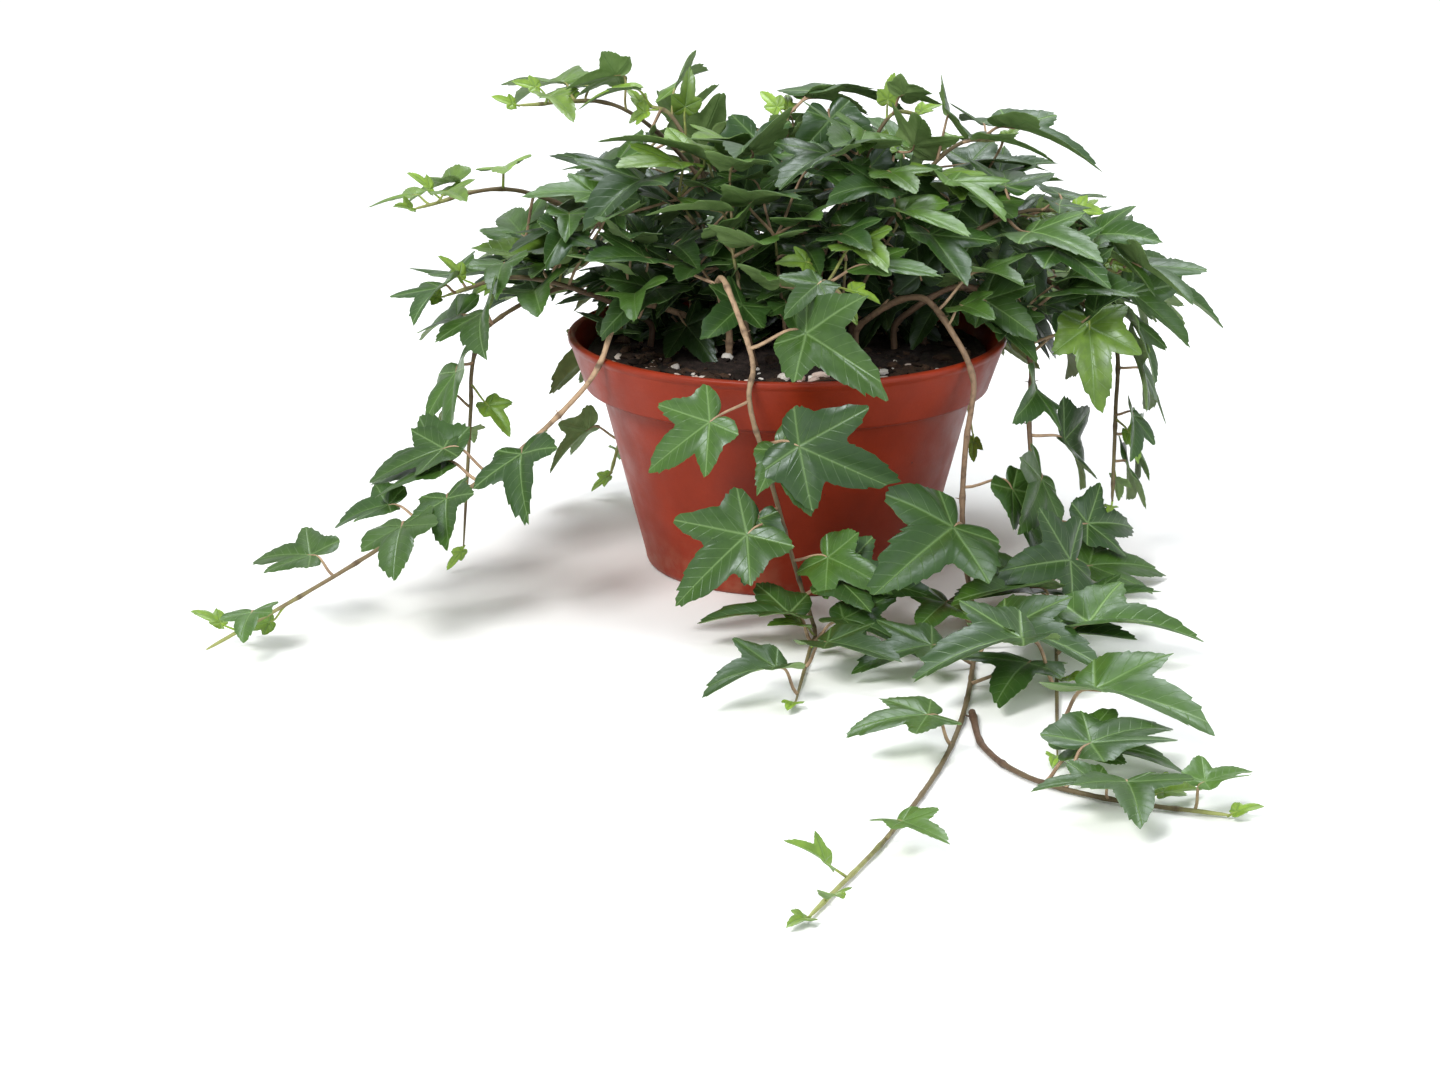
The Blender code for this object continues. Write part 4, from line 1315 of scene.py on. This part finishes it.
# Each lamp: its place, what it points at, its diameter in metres, its watts and its colour.
LAMPS = {
    "key_lamp": ((-1.0, -1.5, 1.7), (0, 0, 0.08), 0.9, 46, (1.0, 0.99, 0.97)),
    "fill_lamp": ((1.6, -1.3, 1.0), (0, 0, 0.08), 1.4, 12, (0.97, 0.98, 1.0)),
    "top_lamp": ((0.2, 0.9, 1.8), (0, 0, 0.1), 1.2, 26, (0.96, 0.98, 1.0)),
}
AIR_COLOUR = (0.96, 0.98, 1.0, 1)
AIR_STRENGTH = 0.66
FLOOR_REACH = 9
SENSOR_WIDTH = 36


def make_floor(settings):
    recipe = Recipe("studio_floor")
    finish = recipe.finish(tuple(settings.floor_colour), 0.9, 0.2)
    mesh = bpy.data.meshes.new("studio_floor")
    corners = [(x * FLOOR_REACH, y * FLOOR_REACH, 0) for x, y in ((-1, -1), (1, -1), (1, 1), (-1, 1))]
    mesh.from_pydata(corners, [], [(0, 1, 2, 3)])
    mesh.materials.append(finish)
    floor = bpy.data.objects.new("studio_floor", mesh)
    bpy.context.scene.collection.objects.link(floor)


def make_lamp(name, place, target, size, power, colour):
    lamp = bpy.data.lights.new(name, "AREA")
    lamp.shape = "DISK"
    lamp.size = size
    lamp.energy = power
    lamp.color = colour
    holder = bpy.data.objects.new(name, lamp)
    holder.location = place
    holder.rotation_euler = (Vector(target) - Vector(place)).to_track_quat("-Z", "Y").to_euler()
    bpy.context.scene.collection.objects.link(holder)


def make_stage(settings):
    make_floor(settings)
    for name, lamp in LAMPS.items():
        make_lamp(name, *lamp)
    world = bpy.data.worlds.new("studio_air")
    world.use_nodes = True
    air = world.node_tree.nodes["Background"]
    air.inputs["Color"].default_value = AIR_COLOUR
    air.inputs["Strength"].default_value = AIR_STRENGTH
    bpy.context.scene.world = world
    bpy.context.scene.view_settings.view_transform = "Standard"
    view = bpy.data.cameras.new("camera")
    view.lens = settings.lens
    view.sensor_width = SENSOR_WIDTH
    camera = bpy.data.objects.new("camera", view)
    camera.location = settings.camera_place
    camera.rotation_euler = (math.radians(90) - settings.camera_pitch, 0, 0)
    bpy.context.scene.collection.objects.link(camera)
    bpy.context.scene.camera = camera


# --- Operators, panel and registration ---


class IVY_OT_pot(bpy.types.Operator):
    """Build the finished pot"""

    bl_idname = "ivy.pot"
    bl_label = "Pot"

    def execute(self, context):
        make_pot(context.scene.ivy_pot)
        return {"FINISHED"}


class IVY_OT_soil(bpy.types.Operator):
    """Build the soil's crumbly surface"""

    bl_idname = "ivy.soil"
    bl_label = "Soil"

    def execute(self, context):
        make_soil(context.scene.ivy_soil)
        return {"FINISHED"}


class IVY_OT_grains(bpy.types.Operator):
    """Scatter bark crumbs and pale grains over the soil"""

    bl_idname = "ivy.grains"
    bl_label = "Crumbs and grains"

    def execute(self, context):
        make_grains(context.scene.ivy_soil)
        return {"FINISHED"}


class IVY_OT_stems(bpy.types.Operator):
    """Build the stems' bark, knots and rootlets"""

    bl_idname = "ivy.stems"
    bl_label = "Stems"

    def execute(self, context):
        make_stems(context.scene.ivy_stems)
        return {"FINISHED"}


class IVY_OT_leaves(bpy.types.Operator):
    """Grow every leaf on the stems"""

    bl_idname = "ivy.leaves"
    bl_label = "Leaves"

    def execute(self, context):
        make_leaves(context.scene.ivy_leaves, context.scene.ivy_stems)
        return {"FINISHED"}


class IVY_OT_stage(bpy.types.Operator):
    """Build the floor, the lamps and the camera"""

    bl_idname = "ivy.stage"
    bl_label = "Stage"

    def execute(self, context):
        make_stage(context.scene.ivy_stage)
        return {"FINISHED"}


class IVY_PT_panel(bpy.types.Panel):
    """Lists the pieces and their settings"""

    bl_idname = "IVY_PT_panel"
    bl_label = "Potted Ivy"
    bl_space_type = "VIEW_3D"
    bl_region_type = "UI"
    bl_category = "Ivy"

    def draw(self, context):
        for group, operators in PANEL_GROUPS:
            box = self.layout.box()
            settings = getattr(context.scene, group)
            for title in settings.__annotations__:
                box.prop(settings, title)
            for operator in operators:
                box.operator(operator.bl_idname)


SETTINGS = {
    "ivy_pot": PotSettings,
    "ivy_soil": SoilSettings,
    "ivy_stems": StemSettings,
    "ivy_leaves": LeafSettings,
    "ivy_stage": StageSettings,
}
PANEL_GROUPS = (
    ("ivy_pot", (IVY_OT_pot,)),
    ("ivy_soil", (IVY_OT_soil, IVY_OT_grains)),
    ("ivy_stems", (IVY_OT_stems,)),
    ("ivy_leaves", (IVY_OT_leaves,)),
    ("ivy_stage", (IVY_OT_stage,)),
)
OPERATORS = tuple(operator for group, operators in PANEL_GROUPS for operator in operators)


def register():
    for settings in SETTINGS.values():
        bpy.utils.register_class(settings)
    for operator in OPERATORS:
        bpy.utils.register_class(operator)
    bpy.utils.register_class(IVY_PT_panel)
    for name, settings in SETTINGS.items():
        setattr(bpy.types.Scene, name, bpy.props.PointerProperty(type=settings))


def unregister():
    for name in SETTINGS:
        delattr(bpy.types.Scene, name)
    bpy.utils.unregister_class(IVY_PT_panel)
    for operator in reversed(OPERATORS):
        bpy.utils.unregister_class(operator)
    for settings in reversed(SETTINGS.values()):
        bpy.utils.unregister_class(settings)


def main():
    register()
    bpy.ops.ivy.pot()
    bpy.ops.ivy.soil()
    bpy.ops.ivy.grains()
    bpy.ops.ivy.stems()
    bpy.ops.ivy.leaves()
    bpy.ops.ivy.stage()
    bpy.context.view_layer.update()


if __name__ == "__main__":
    main()
